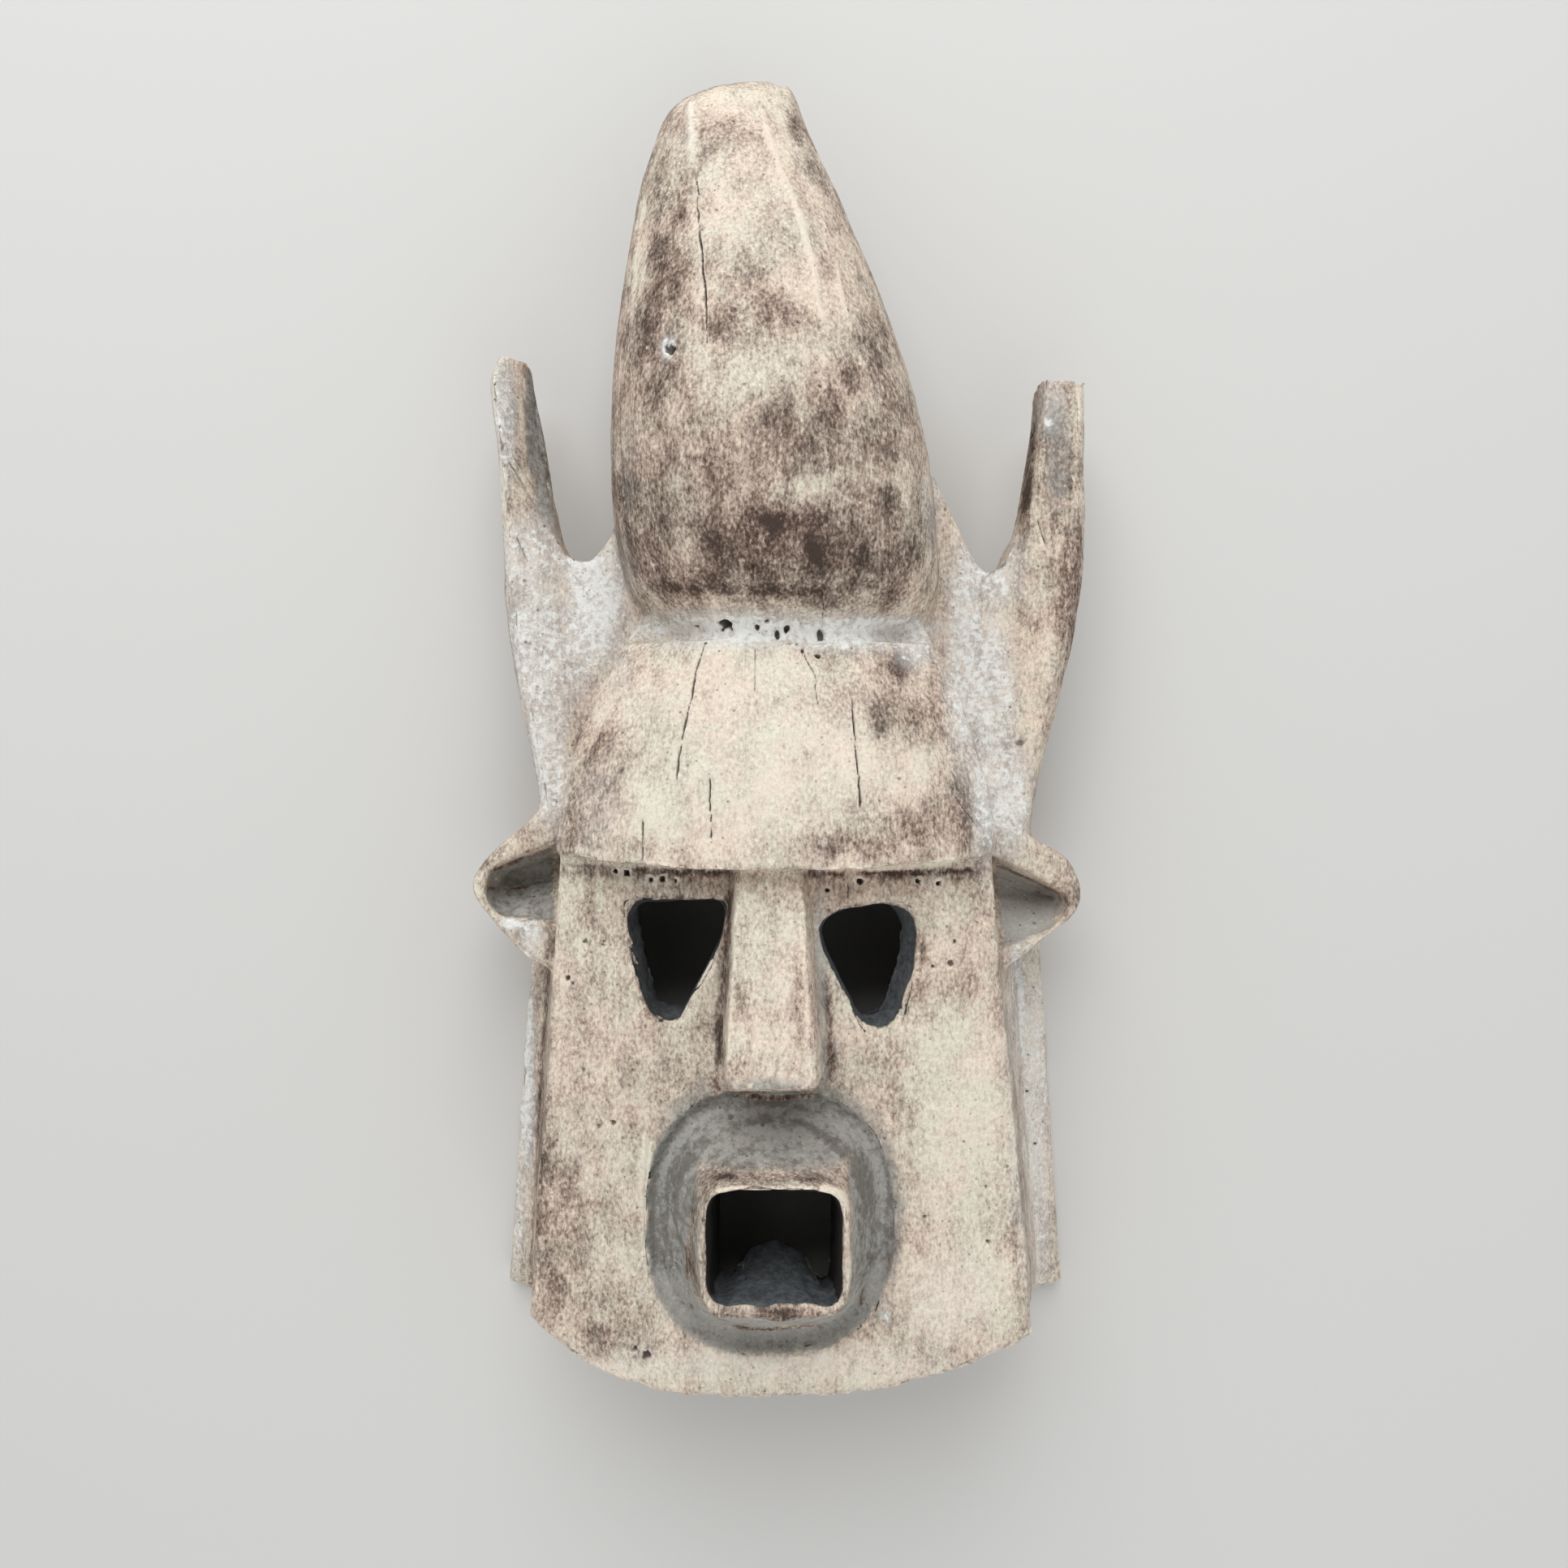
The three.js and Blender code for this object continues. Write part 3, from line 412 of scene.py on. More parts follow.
# On the crest's lower end, round v 640 to 740, the patina and umber patches stand for patina and painted
# shade together
PATINA = [
    (824, 256, 20, 40, 0.85), (820, 340, 26, 70, 1.0), (806, 440, 34, 80, 1.0), (880, 173, 30, 20, 0.5),
    (897, 400, 34, 32, 0.7), (948, 386, 30, 26, 0.7), (920, 340, 30, 26, 0.2), (985, 150, 14, 30, 0.6),
    (1010, 200, 14, 50, 0.6), (1060, 440, 40, 50, 0.7), (1085, 530, 40, 60, 0.75), (980, 540, 110, 60, 0.8),
    (870, 560, 60, 60, 0.6), (975, 660, 160, 75, 1.0), (865, 700, 60, 40, 1.0), (1100, 670, 50, 60, 0.75),
    (800, 640, 44, 80, 0.7), (1000, 730, 130, 20, 0.8), (930, 598, 46, 34, 0.6), (970, 562, 50, 14, 0.6),
    (1106, 822, 26, 20, 0.9), (1130, 880, 44, 46, 0.6), (1084, 882, 18, 26, 1.0), (993, 935, 9, 16, 0.7),
    (958, 866, 7, 8, 0.7), (1037, 1042, 70, 18, 0.6), (1079, 1001, 24, 26, 0.6), (1134, 1018, 50, 34, 0.6),
    (1185, 1004, 26, 50, 0.75), (1205, 1045, 24, 20, 0.8), (714, 1024, 28, 28, 0.95),
    (745, 950, 24, 60, 0.5), (722, 900, 14, 70, 0.6), (780, 1045, 70, 14, 0.5), (910, 1310, 26, 26, 0.6),
    (985, 1220, 14, 40, 0.3), (672, 1420, 14, 120, 0.6), (680, 1590, 34, 50, 0.6),
    (750, 1650, 50, 24, 0.55), (700, 1500, 30, 70, 0.4), (850, 1150, 20, 60, 0.25),
    (1165, 1250, 18, 30, 0.35), (1262, 560, 10, 110, 0.65), (1305, 560, 26, 90, 0.55),
    (1320, 720, 24, 120, 0.6), (1300, 900, 14, 80, 0.6), (632, 820, 8, 100, 0.3), (655, 900, 8, 60, 0.25),
    (1345, 560, 8, 60, 0.5), (590, 1060, 18, 30, 0.4), (1315, 1100, 26, 30, 0.45),
    (935, 1645, 110, 14, 0.5), (866, 1520, 10, 90, 0.9), (1052, 1530, 10, 80, 0.7), (955, 1455, 90, 9, 0.8),
    (1255, 1520, 6, 120, 0.3), (1236, 1180, 6, 60, 0.2), (664, 570, 8, 50, 0.3), (640, 1250, 8, 60, 0.3),
]
UMBER = [
    (941, 646, 42, 20, 0.75), (975, 690, 100, 36, 0.62), (865, 712, 40, 14, 0.5), (1098, 612, 12, 16, 0.8),
    (1099, 687, 16, 20, 0.6), (1041, 653, 20, 12, 0.6), (1050, 470, 14, 20, 0.6), (1084, 888, 10, 16, 0.8),
    (1110, 822, 14, 12, 0.7), (1190, 1010, 10, 40, 0.35), (1037, 1047, 40, 8, 0.3), (1271, 540, 6, 60, 0.5),
    (778, 640, 8, 60, 0.25), (1128, 700, 14, 40, 0.5), (790, 1668, 16, 10, 0.6), (672, 1480, 8, 60, 0.4),
    (697, 1036, 12, 16, 0.5), (700, 580, 8, 40, 0.5),
]
# Pale residue and dust; in the groove under the crest, along the fold at the face's right side and on the
# nose's right facet it also stands as painted light where the wood lies in shade
RESIDUE_AND_LIGHT = [
    (910, 776, 150, 20, 1.0), (1080, 775, 90, 18, 1.0), (1125, 795, 26, 30, 0.8), (850, 776, 40, 18, 1.0),
    (735, 740, 40, 90, 1.0), (700, 800, 40, 80, 0.8), (720, 690, 30, 20, 1.0), (680, 950, 18, 80, 0.8),
    (1190, 800, 26, 150, 0.9), (1215, 960, 20, 110, 0.8), (1200, 700, 26, 40, 0.9),
    (1225, 720, 26, 30, 0.8), (648, 1300, 12, 170, 1.0), (636, 1480, 12, 90, 0.7),
    (1272, 1350, 26, 200, 0.75), (1280, 1500, 16, 110, 0.7), (823, 427, 9, 12, 1.2),
    (655, 1150, 20, 20, 0.7), (852, 150, 8, 40, 0.4), (1292, 520, 8, 10, 1.0), (1093, 1620, 9, 7, 1.2),
    (900, 1390, 60, 40, 0.15), (680, 700, 30, 50, 0.6), (660, 860, 20, 60, 0.5), (1150, 610, 12, 60, 0.5),
    (690, 870, 20, 60, 0.8), (705, 700, 20, 30, 0.8), (1170, 1600, 60, 60, 0.35), (760, 830, 20, 40, 0.4),
    (618, 520, 20, 90, 0.85), (650, 690, 44, 60, 0.8), (660, 800, 50, 110, 0.85), (672, 930, 30, 90, 0.9),
    (1240, 700, 26, 50, 0.6), (1222, 860, 30, 120, 0.9), (1242, 980, 30, 80, 0.9), (1292, 500, 20, 40, 0.5),
    (960, 1680, 240, 24, 0.3), (940, 930, 150, 90, 0.2), (740, 1000, 30, 60, 0.25), (629, 1138, 14, 9, 1.3),
    (655, 1150, 14, 24, 0.9), (900, 776, 130, 24, 1.0), (1040, 780, 110, 24, 1.0),
    (1252, 1250, 14, 110, 1.0), (1011, 1180, 8, 110, 0.4),
]
GREY = [
    (950, 1385, 135, 55, 1.0), (840, 1500, 45, 130, 0.9), (1070, 1500, 45, 130, 0.9),
    (1012, 1200, 11, 120, 0.55), (889, 1220, 7, 110, 0.5), (955, 1440, 90, 12, 0.6),
    (658, 510, 13, 90, 0.85), (672, 600, 14, 60, 0.8), (622, 510, 20, 90, 0.45), (1305, 560, 24, 100, 0.5),
    (1320, 1100, 14, 34, 0.35), (600, 1070, 16, 40, 0.2), (870, 1330, 14, 24, 0.5),
    (1020, 1300, 12, 34, 1.0), (690, 640, 14, 30, 0.6), (775, 560, 14, 110, 0.4), (1000, 1110, 26, 18, 0.3),
]


class CarvingSizes(bpy.types.PropertyGroup):
    """Sizes of the carving that is cut into the wood"""

    voxel: FloatProperty(name="Mesh size", description="Side of the even mesh's squares", default=0.001,
                         min=0.0006, unit="LENGTH", subtype="DISTANCE")
    fine: FloatProperty(name="Fine mesh size", description="Side of the squares beside a crack or a hole",
                        default=0.00036, min=0.0002, unit="LENGTH", subtype="DISTANCE")
    ease: IntProperty(name="Easing", description="Rounds that ease the solid's facets", default=46, min=0)
    tool_marks: FloatProperty(name="Tool marks", description="Depth of the adze's shallow dishes",
                              default=0.00075, min=0.0, unit="LENGTH", subtype="DISTANCE")
    weathering: FloatProperty(name="Weathering", description="Depth of the worn grain and roughness",
                              default=0.0006, min=0.0, unit="LENGTH", subtype="DISTANCE")
    edge_wear: FloatProperty(name="Edge wear", description="Depth of the chips along the sharp edges",
                             default=0.0011, min=0.0, unit="LENGTH", subtype="DISTANCE")
    triangles: IntProperty(name="Triangles", description="Most triangles that the finished piece has",
                           default=190000, min=20000)


def colour(name, description, red, green, blue):
    """A colour property whose default is given as screen values from 0 to 255"""
    return FloatVectorProperty(name=name, description=description, default=from_screen(red, green, blue),
                               size=3, min=0.0, max=1.0, subtype="COLOR")


def from_screen(red, green, blue):
    """Screen colour values from 0 to 255 as the linear values that a shader takes"""
    parts = [value / 255.0 for value in (red, green, blue)]
    return tuple(p / 12.92 if p <= 0.04045 else ((p + 0.055) / 1.055) ** 2.4 for p in parts)


class WoodColours(bpy.types.PropertyGroup):
    """Colours of the weathered wood"""

    cream: colour("Cream wood", "Rubbed and bleached wood", 242, 233, 219)
    straw: colour("Straw wood", "Light bare wood", 223, 211, 197)
    tan: colour("Tan wood", "Bare wood in the shade of age", 200, 185, 173)
    patina: colour("Brown patina", "Handled brown wood", 152, 136, 126)
    fleck: colour("Brown flecks", "Flecks of darker stain", 110, 94, 85)
    umber: colour("Dark patina", "Darkest brown stain", 74, 62, 56)
    reddish: colour("Reddish tint", "Tint where the stain is redder", 255, 249, 244)
    olive: colour("Olive tint", "Tint where the stain is greener", 249, 252, 247)
    # Also used as painted light, to pale the wood where it lies in shade
    residue_and_light: colour("Pale residue", "Old pale paint and dust", 246, 247, 244)
    grey: colour("Grey wood", "Grey recesses", 167, 167, 163)
    dark_grey: colour("Dark grey wood", "Darker clouds in the grey", 109, 109, 105)
    # Slate grey is painted light on the walls of the holes; soot black is partly painted shade inside
    lit_slate: colour("Slate walls", "Walls of the eyes and the mouth", 100, 105, 107)
    dark_slate: colour("Dark slate walls", "Darker clouds on those walls", 70, 74, 78)
    soot_and_shade: colour("Soot", "Blackened inside", 22, 22, 24)
    # Grime, also the colour of the painted shade in the dips and in the crease round the sunken ring
    grime_and_shade: colour("Grime", "Dirt in cracks and holes", 50, 43, 40)


class StageSettings(bpy.types.PropertyGroup):
    """Floor, light and camera"""

    floor: colour("Floor", "Plain pale floor", 222, 222, 220)
    floor_side: FloatProperty(name="Floor side", description="Side of the square floor", default=8.0,
                              min=1.0, unit="LENGTH", subtype="DISTANCE")
    key_power: FloatProperty(name="Key light", description="Power of the large light above the crest",
                             default=26.0, min=0.0, unit="POWER")
    fill_power: FloatProperty(name="Fill light", description="Power of the large light beyond the chin",
                              default=6.5, min=0.0, unit="POWER")
    surround: FloatProperty(name="Surround", description="Strength of the even light all round",
                            default=0.57, min=0.0)
    overhead: FloatProperty(name="Overhead", description="Strength of the surround's weak part overhead",
                            default=0.04, min=0.0)


# Numbers over the surface

def smoothstep(low, high, value):
    t = np.clip((value - low) / (high - low), 0.0, 1.0)
    return t * t * (3.0 - 2.0 * t)


def lattice(cells, seed):
    """A repeatable number from 0 to 1 for each whole cell"""
    for_x, for_y, for_z, for_seed, for_all = HASH_FACTORS
    n = cells[:, 0] * for_x ^ cells[:, 1] * for_y ^ cells[:, 2] * for_z ^ seed * for_seed
    n = (n ^ (n >> 13)) * for_all
    n = n ^ (n >> 16)
    return (n & HASH_BITS) / float(HASH_BITS)


def soft_noise(points, size, seed):
    """Smooth noise from 0 to 1; size is one length, or one for each axis"""
    at = points / np.asarray(size, float)
    cell = np.floor(at).astype(np.int64)
    part = at - cell
    part = part * part * (3.0 - 2.0 * part)
    total = np.zeros(len(points))
    for corner in product((0, 1), repeat=3):
        step = np.array(corner)
        weight = np.where(step == 1, part, 1.0 - part).prod(axis=1)
        total += weight * lattice(cell + step, seed)
    return total


def layered_noise(points, size, seed, layers=3):
    """Noise of several sizes, each half as large and half as strong as the one before"""
    total = np.zeros(len(points))
    share = 0.0
    for layer in range(layers):
        strength = 0.5 ** layer
        finer = np.asarray(size, float) * strength
        total += strength * soft_noise(points, finer, seed + LAYER_SEED * layer)
        share += strength
    return total / share


def dishes(points, size, seed):
    """Shallow dishes side by side, as an adze leaves: 0 in the middle of one, 1 on the ridge between two"""
    at = points / np.asarray(size, float)
    cell = np.floor(at).astype(np.int64)
    nearest = np.full(len(points), np.inf)
    for corner in product((-1, 0, 1), repeat=3):
        near = cell + np.array(corner)
        middle = near + np.stack([lattice(near, seed + k) for k in range(3)], axis=1)
        nearest = np.minimum(nearest, ((at - middle) ** 2).sum(axis=1))
    return np.clip(nearest, 0.0, 1.0)


def in_photo(points):
    """Pixel u and v of each point, and how many pixels a millimetre takes there"""
    scale = PHOTO_FOCAL / (CAMERA_AT[2] - points[:, 2])
    u = PHOTO_MIDDLE[0] + (points[:, 0] - CAMERA_AT[0]) * scale
    v = PHOTO_MIDDLE[1] - (points[:, 1] - CAMERA_AT[1]) * scale
    return u, v, scale


def facing_camera(points, normals):
    """How squarely the surface faces the camera, from -1 to 1"""
    away = np.asarray(CAMERA_AT) - points
    away /= np.linalg.norm(away, axis=1)[:, None]
    return (away * normals).sum(axis=1)


def painted(points, patches):
    """How much of a finish its patches put on each point"""
    u, v, _ = in_photo(points)
    amount = np.zeros(len(points))
    for middle_u, middle_v, half_u, half_v, strength in patches:
        reach = np.hypot((u - middle_u) / half_u, (v - middle_v) / half_v)
        amount = np.maximum(amount, strength * smoothstep(*PATCH_EDGE, reach))
    return amount


def along_line(u, v, path):
    """Distance in pixels to a line through points, and how far along it from 0 to 1"""
    best = np.full(len(u), np.inf)
    where = np.zeros(len(u))
    lengths = [np.hypot(b[0] - a[0], b[1] - a[1]) for a, b in zip(path, path[1:])]
    done = 0.0
    for (start, end), length in zip(zip(path, path[1:]), lengths):
        du = end[0] - start[0]
        dv = end[1] - start[1]
        t = np.clip(((u - start[0]) * du + (v - start[1]) * dv) / length ** 2, 0.0, 1.0)
        distance = np.hypot(u - start[0] - t * du, v - start[1] - t * dv)
        closer = distance < best
        best = np.where(closer, distance, best)
        where = np.where(closer, (done + t * length) / sum(lengths), where)
        done += length
    return best, where


def seen_wood(points, normals):
    """1 on the wood that faces the camera, 0 on what faces away from it"""
    return smoothstep(*SEEN_FOR_CUTS, facing_camera(points, normals))


def depth_inside(u, v, corners):
    """How far each pixel lies inside a shape with these corners, in pixels; negative outside it"""
    inside = np.zeros(len(u), dtype=bool)
    for (start_u, start_v), (end_u, end_v) in zip(corners, corners[1:] + corners[:1]):
        crosses = (start_v > v) != (end_v > v)
        meets = start_u + (v - start_v) * (end_u - start_u) / ((end_v - start_v) or 1.0)
        inside ^= crosses & (u < meets)
    distance, _ = along_line(u, v, corners + corners[:1])
    return np.where(inside, distance, -distance)


def ear_grey(points, normals):
    """How grey the facets of the ears' hollows are"""
    u, v, _ = in_photo(points)
    sway = (soft_noise(points, 2.2, SEEDS["ear_waver"]) - 0.5) * 3.0
    grey = np.zeros(len(points))
    for corners, amount in EAR_FACETS.values():
        grey = np.maximum(grey, amount * smoothstep(-1.5, 1.0, depth_inside(u, v, corners) + sway))
    return grey * seen_wood(points, normals)


def strokes(points, normals):
    """What the lines along edges and folds add to the stain, uneven along their length; some of them are
    painted shadow and shade
    """
    u, v, scale = in_photo(points)
    lighter = np.zeros(len(points))
    darker = np.zeros(len(points))
    bends = (soft_noise(points, 8.0, SEEDS["stroke_bends"]) - 0.5) * 2.0
    sway = bends + (soft_noise(points, 2.4, SEEDS["stroke_waver"]) - 0.5) * 1.2
    strength = layered_noise(points, 7.0, SEEDS["stroke_strength"], 2)
    uneven = 0.55 + 0.45 * smoothstep(0.3, 0.6, strength)
    for path, half, amount in STROKES.values():
        distance, where = along_line(u + sway * scale * 0.6, v + sway * scale * 0.4, path)
        ends = smoothstep(0.0, 0.1, where) * smoothstep(1.0, 0.9, where)
        profile = amount * smoothstep(1.5, 0.4, distance / scale / half) * (0.3 + 0.7 * ends)
        lighter = np.minimum(lighter, profile)
        darker = np.maximum(darker, profile)
    return (lighter + darker) * uneven * seen_wood(points, normals)


def line_cuts(points, normals, lines, wobble):
    """Depth in millimetres that cracks or cuts take from each point"""
    u, v, scale = in_photo(points)
    depth = np.zeros(len(points))
    bends = (soft_noise(points, 9.0, SEEDS["cut_bends"]) - 0.5) * 1.5
    sway = bends + (soft_noise(points, 2.6, SEEDS["cut_waver"]) - 0.5) * 0.5
    seen = seen_wood(points, normals)
    fade = 0.55 + 0.55 * smoothstep(0.3, 0.65, soft_noise(points, 6.0, SEEDS["cut_strength"]))
    for path, width, deepest in lines.values():
        distance, where = along_line(u + sway * wobble * scale, v, path)
        ends = smoothstep(0.0, 0.12, where) * smoothstep(1.0, 0.88, where)
        half = 0.5 * width * (0.4 + 0.6 * ends) * fade
        profile = np.clip(1.0 - distance / scale / half, 0.0, 1.0) ** 0.8
        depth = np.maximum(depth, deepest * (0.35 + 0.65 * ends) * profile * seen)
    return depth


def pit_cuts(points, normals):
    """Depth in millimetres that insect holes and pits take from each point"""
    u, v, scale = in_photo(points)
    depth = np.zeros(len(points))
    seen = seen_wood(points, normals)
    edge = (soft_noise(points, 1.6, SEEDS["pit_edge"]) - 0.5) * 0.7
    rough = edge + (soft_noise(points, 0.8, SEEDS["pit_waver"]) - 0.5) * 0.4
    foreshortened = 1.0 / np.clip(normals[:, 2], 0.45, 1.0)
    for middle_u, middle_v, radius, deepest in PITS.values():
        distance = np.hypot(u - middle_u, (v - middle_v) * foreshortened) / scale / radius + rough
        depth = np.maximum(depth, deepest * smoothstep(1.0, 0.35, distance) * seen)
    return depth


def ridge_rise(points, normals):
    """How far the raised edges of the crest stand out, in millimetres"""
    u, v, scale = in_photo(points)
    rise = np.zeros(len(points))
    for path, width, height in RIDGES.values():
        distance, where = along_line(u, v, path)
        ends = smoothstep(0.0, 0.15, where) * smoothstep(1.0, 0.8, where)
        rise = np.maximum(rise, height * ends * smoothstep(width, 0.0, distance / scale))
    return rise * seen_wood(points, normals)


# The mesh

def arrays(mesh):
    """Points in millimetres, normals, and pairs of points that an edge joins"""
    count = len(mesh.vertices)
    points = np.empty(count * 3)
    mesh.vertices.foreach_get("co", points)
    normals = np.empty(count * 3)
    mesh.vertex_normals.foreach_get("vector", normals)
    edges = np.empty(len(mesh.edges) * 2, dtype=np.int64)
    mesh.edges.foreach_get("vertices", edges)
    return points.reshape(-1, 3) / MM, normals.reshape(-1, 3), edges.reshape(-1, 2)


def put_back(mesh, points):
    mesh.vertices.foreach_set("co", (points * MM).ravel())
    mesh.update()


def with_modifiers(piece):
    """The piece's mesh after its modifiers, which are then taken off"""
    bpy.context.view_layer.update()
    graph = bpy.context.evaluated_depsgraph_get()
    done = bpy.data.meshes.new_from_object(piece.evaluated_get(graph))
    piece.modifiers.clear()
    piece.data = done
    return done


def neighbour_mean(values, edges, degree):
    """Mean of each point's neighbours"""
    count = len(values)
    columns = []
    for column in values.reshape(count, -1).T:
        total = np.bincount(edges[:, 0], column[edges[:, 1]], count)
        total += np.bincount(edges[:, 1], column[edges[:, 0]], count)
        columns.append(total / degree)
    return np.stack(columns, axis=1).reshape(values.shape)


def relaxed(points, edges, rounds, hold=None, step=0.5):
    """Points drawn towards their neighbours, less where hold is near 1"""
    degree = np.maximum(np.bincount(edges.ravel(), minlength=len(points)), 1)
    give = np.ones(len(points)) if hold is None else 1.0 - hold
    for _ in range(rounds):
        points = points + step * give[:, None] * (neighbour_mean(points, edges, degree) - points)
    return points


def welded_solid(packed):
    """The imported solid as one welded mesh, and points along the edges that are to stay sharp"""
    shape = bmesh.new()
    shape.from_mesh(packed.data)
    bmesh.ops.remove_doubles(shape, verts=shape.verts, dist=1e-6)
    marks = []
    for edge in shape.edges:
        start, end = (np.array(vert.co) / MM for vert in edge.verts)
        on_face = RING_TOP_Y < min(start[1], end[1]) < BROW_Y and min(start[2], end[2]) > FACE_EDGES_Z
        on_ear = min(abs(start[0]), abs(end[0])) > EAR_ROOT_X and EAR_LOW_Y < start[1] < EAR_HIGH_Y
        turn = edge.calc_face_angle_signed(0.0) if len(edge.link_faces) == 2 else 0.0
        if turn > SHARP_TURN or (on_face and turn < SHARP_ON_FACE) or (on_ear and turn < SHARP_ON_EAR):
            steps = int(np.linalg.norm(end - start)) + 2
            marks.extend(start + (end - start) * t for t in np.linspace(0.0, 1.0, steps))
    mesh = bpy.data.meshes.new(PIECE)
    shape.to_mesh(mesh)
    shape.free()
    return mesh, np.array(marks)


def distance_to(points, marks, reach):
    """Distance from each point to the nearest mark, cut off at reach"""
    tree = KDTree(len(marks))
    for index, mark in enumerate(marks):
        tree.insert(mark, index)
    tree.balance()
    return np.minimum([tree.find(point)[2] for point in points], reach)


def refine(mesh, near, size):
    """Cut the mesh finer where near is true, until its edges there are about size long"""
    shape = bmesh.new()
    shape.from_mesh(mesh)
    edges = [edge for edge in shape.edges if near[edge.verts[0].index] or near[edge.verts[1].index]]
    length = sum(edge.calc_length() for edge in edges) / len(edges)
    cuts = max(1, round(length / size) - 1)
    bmesh.ops.subdivide_edges(shape, edges=edges, cuts=cuts, use_grid_fill=True)
    bmesh.ops.triangulate(shape, faces=[face for face in shape.faces if len(face.verts) > 4])
    shape.to_mesh(mesh)
    shape.free()


def tool_relief(points, normals, sizes):
    """Depth in millimetres that the carver's tools and the weather take all over the wood"""
    x, y, z = points.T
    crest = smoothstep(GROOVE_Y - 4.0, GROOVE_Y + 8.0, y) * smoothstep(*CREST_SIDE_X, np.abs(x))
    horn = smoothstep(*HORN_SIDE_X, np.abs(x)) * smoothstep(*HORN_FOOT_Y, y)
    face = smoothstep(BROW_Y + 2.0, BROW_Y - 4.0, y) * smoothstep(*FACE_Z, z)
    forehead = np.clip(1.0 - crest - horn - face, 0.0, 1.0) * smoothstep(*FOREHEAD_Z, z)
    inside = hollow_side(points, normals)
    broad = dishes(points, BROAD_DISHES, SEEDS["broad_dishes"])
    narrow = dishes(points, NARROW_DISHES, SEEDS["narrow_dishes"])
    marks = sizes.tool_marks / MM * (
        broad * (0.9 + 0.4 * forehead - 0.3 * crest) + 0.45 * narrow * (0.5 + horn + 0.7 * inside))
    fibres = layered_noise(points, FIBRES, SEEDS["fibres"], 2)
    grain = layered_noise(points, WORN_GRAIN, SEEDS["grain"], 3)
    lumps = layered_noise(points, LUMPS, SEEDS["lumps"], 2)
    rough = sizes.weathering / MM * (
        0.55 * fibres * (0.5 + 0.9 * horn + 0.3 * crest) + 0.55 * grain + 0.9 * lumps)
    pecks = smoothstep(0.66, 0.82, soft_noise(points, PECKS, SEEDS["pecks"])) * smoothstep(0.45, 0.7, lumps)
    return marks + rough + 0.7 * pecks * (0.5 + 0.4 * face + 0.4 * horn + 0.5 * crest)


def in_eye(points, eye, margin=0.0):
    """True for the points in one eye's box, made larger by a margin"""
    left, right, low, high = eye
    x, y, _ = points.T
    return (x > left - margin) & (x < right + margin) & (y > low - margin) & (y < high + margin)


def edge_chips(points, edge_distance, sizes):
    """Depth in millimetres that wear takes along sharp edges, most at the chin and the crest"""
    u, v, _ = in_photo(points)
    ends = smoothstep(*CHIN_V, v) + smoothstep(*CREST_TIP_V, v)
    chip_u, chip_v = CREST_CHIP_AT
    left_crest = smoothstep(*CREST_CHIP_REACH, np.hypot(u - chip_u, (v - chip_v) * 1.4))
    on_nose = (np.abs(points[:, 0]) < NOSE_SIDE_X) * smoothstep(BROW_Y, BROW_Y - 4.0, points[:, 1])
    on_nose = on_nose * smoothstep(RING_TOP_Y - 2.0, RING_TOP_Y + 2.0, points[:, 1])
    near_eyes = np.zeros(len(points))
    for eye in EYES.values():
        near_eyes = np.maximum(near_eyes, in_eye(points, eye, 3.0))
    chips = smoothstep(0.42, 0.75, layered_noise(points, CHIPS, SEEDS["chips"], 2))
    near = smoothstep(3.4, 0.0, edge_distance)
    wear = 0.25 * (1.0 - 0.6 * on_nose) + chips * (1.0 + 0.9 * ends + 0.5 * near_eyes - 0.7 * on_nose)
    return sizes.edge_wear / MM * near * wear + 2.2 * left_crest * near


def hollow_side(points, normals):
    """1 on the walls and roof of the hollow for the wearer's face"""
    x, y, z = points.T
    core = [np.full(len(x), LIP_AT[0]), np.clip(y, *HOLLOW_CORE_Y), np.minimum(z, HOLLOW_CORE_Z)]
    middle = np.stack(core, axis=1)
    inward = ((middle - points) * normals).sum(axis=1) / np.linalg.norm(middle - points, axis=1)
    above_brow = np.clip((y - BROW_Y) / HEAD_LENGTH, 0.0, 1.0)
    flare = HOLLOW_FLARE * np.clip(HOLLOW_FLARE_Z - z, 0.0, HOLLOW_FLARE_Z)
    side = HOLLOW_SIDE_X + flare - HEAD_DRAWN_IN * above_brow ** 1.5
    within = (np.abs(x - LIP_AT[0]) < side) & (y > HOLLOW_LOW_Y) & (y < HOLLOW_HIGH_Y)
    return smoothstep(0.05, 0.3, inward) * within * smoothstep(HOLLOW_TOP_Z, HOLLOW_TOP_Z - 2.0, z)


def eye_walls(points, normals):
    """1 on the walls of the two eyes"""
    z = points[:, 2]
    steep = smoothstep(0.68, 0.45, np.abs(normals[:, 2]))
    deep = smoothstep(*EYE_DEEP_Z, z)
    walls = np.zeros(len(z))
    for eye in EYES.values():
        below = np.maximum(steep, deep) * smoothstep(*EYE_FRONT_Z, z)
        walls = np.maximum(walls, in_eye(points, eye) * below)
    return walls


def mouth_walls(points, normals):
    """1 on the walls of the hole through the snout"""
    x, y, z = points.T
    across = HOLE_AT[0] - x
    down = HOLE_AT[1] - y
    inward = (across * normals[:, 0] + down * normals[:, 1]) / np.maximum(np.hypot(across, down), 1.0)
    within = (np.abs(across) < HOLE_SIZE[0] + 1.5) & (down > -HOLE_SIZE[1] - 1.5)
    within = within & (down < HOLE_SIZE[1] + 20.0) & (z > MOUTH_ROOT_Z)
    return within * smoothstep(0.1, 0.3, inward) * smoothstep(LIP_Z - 0.8, LIP_Z - 2.6, z)


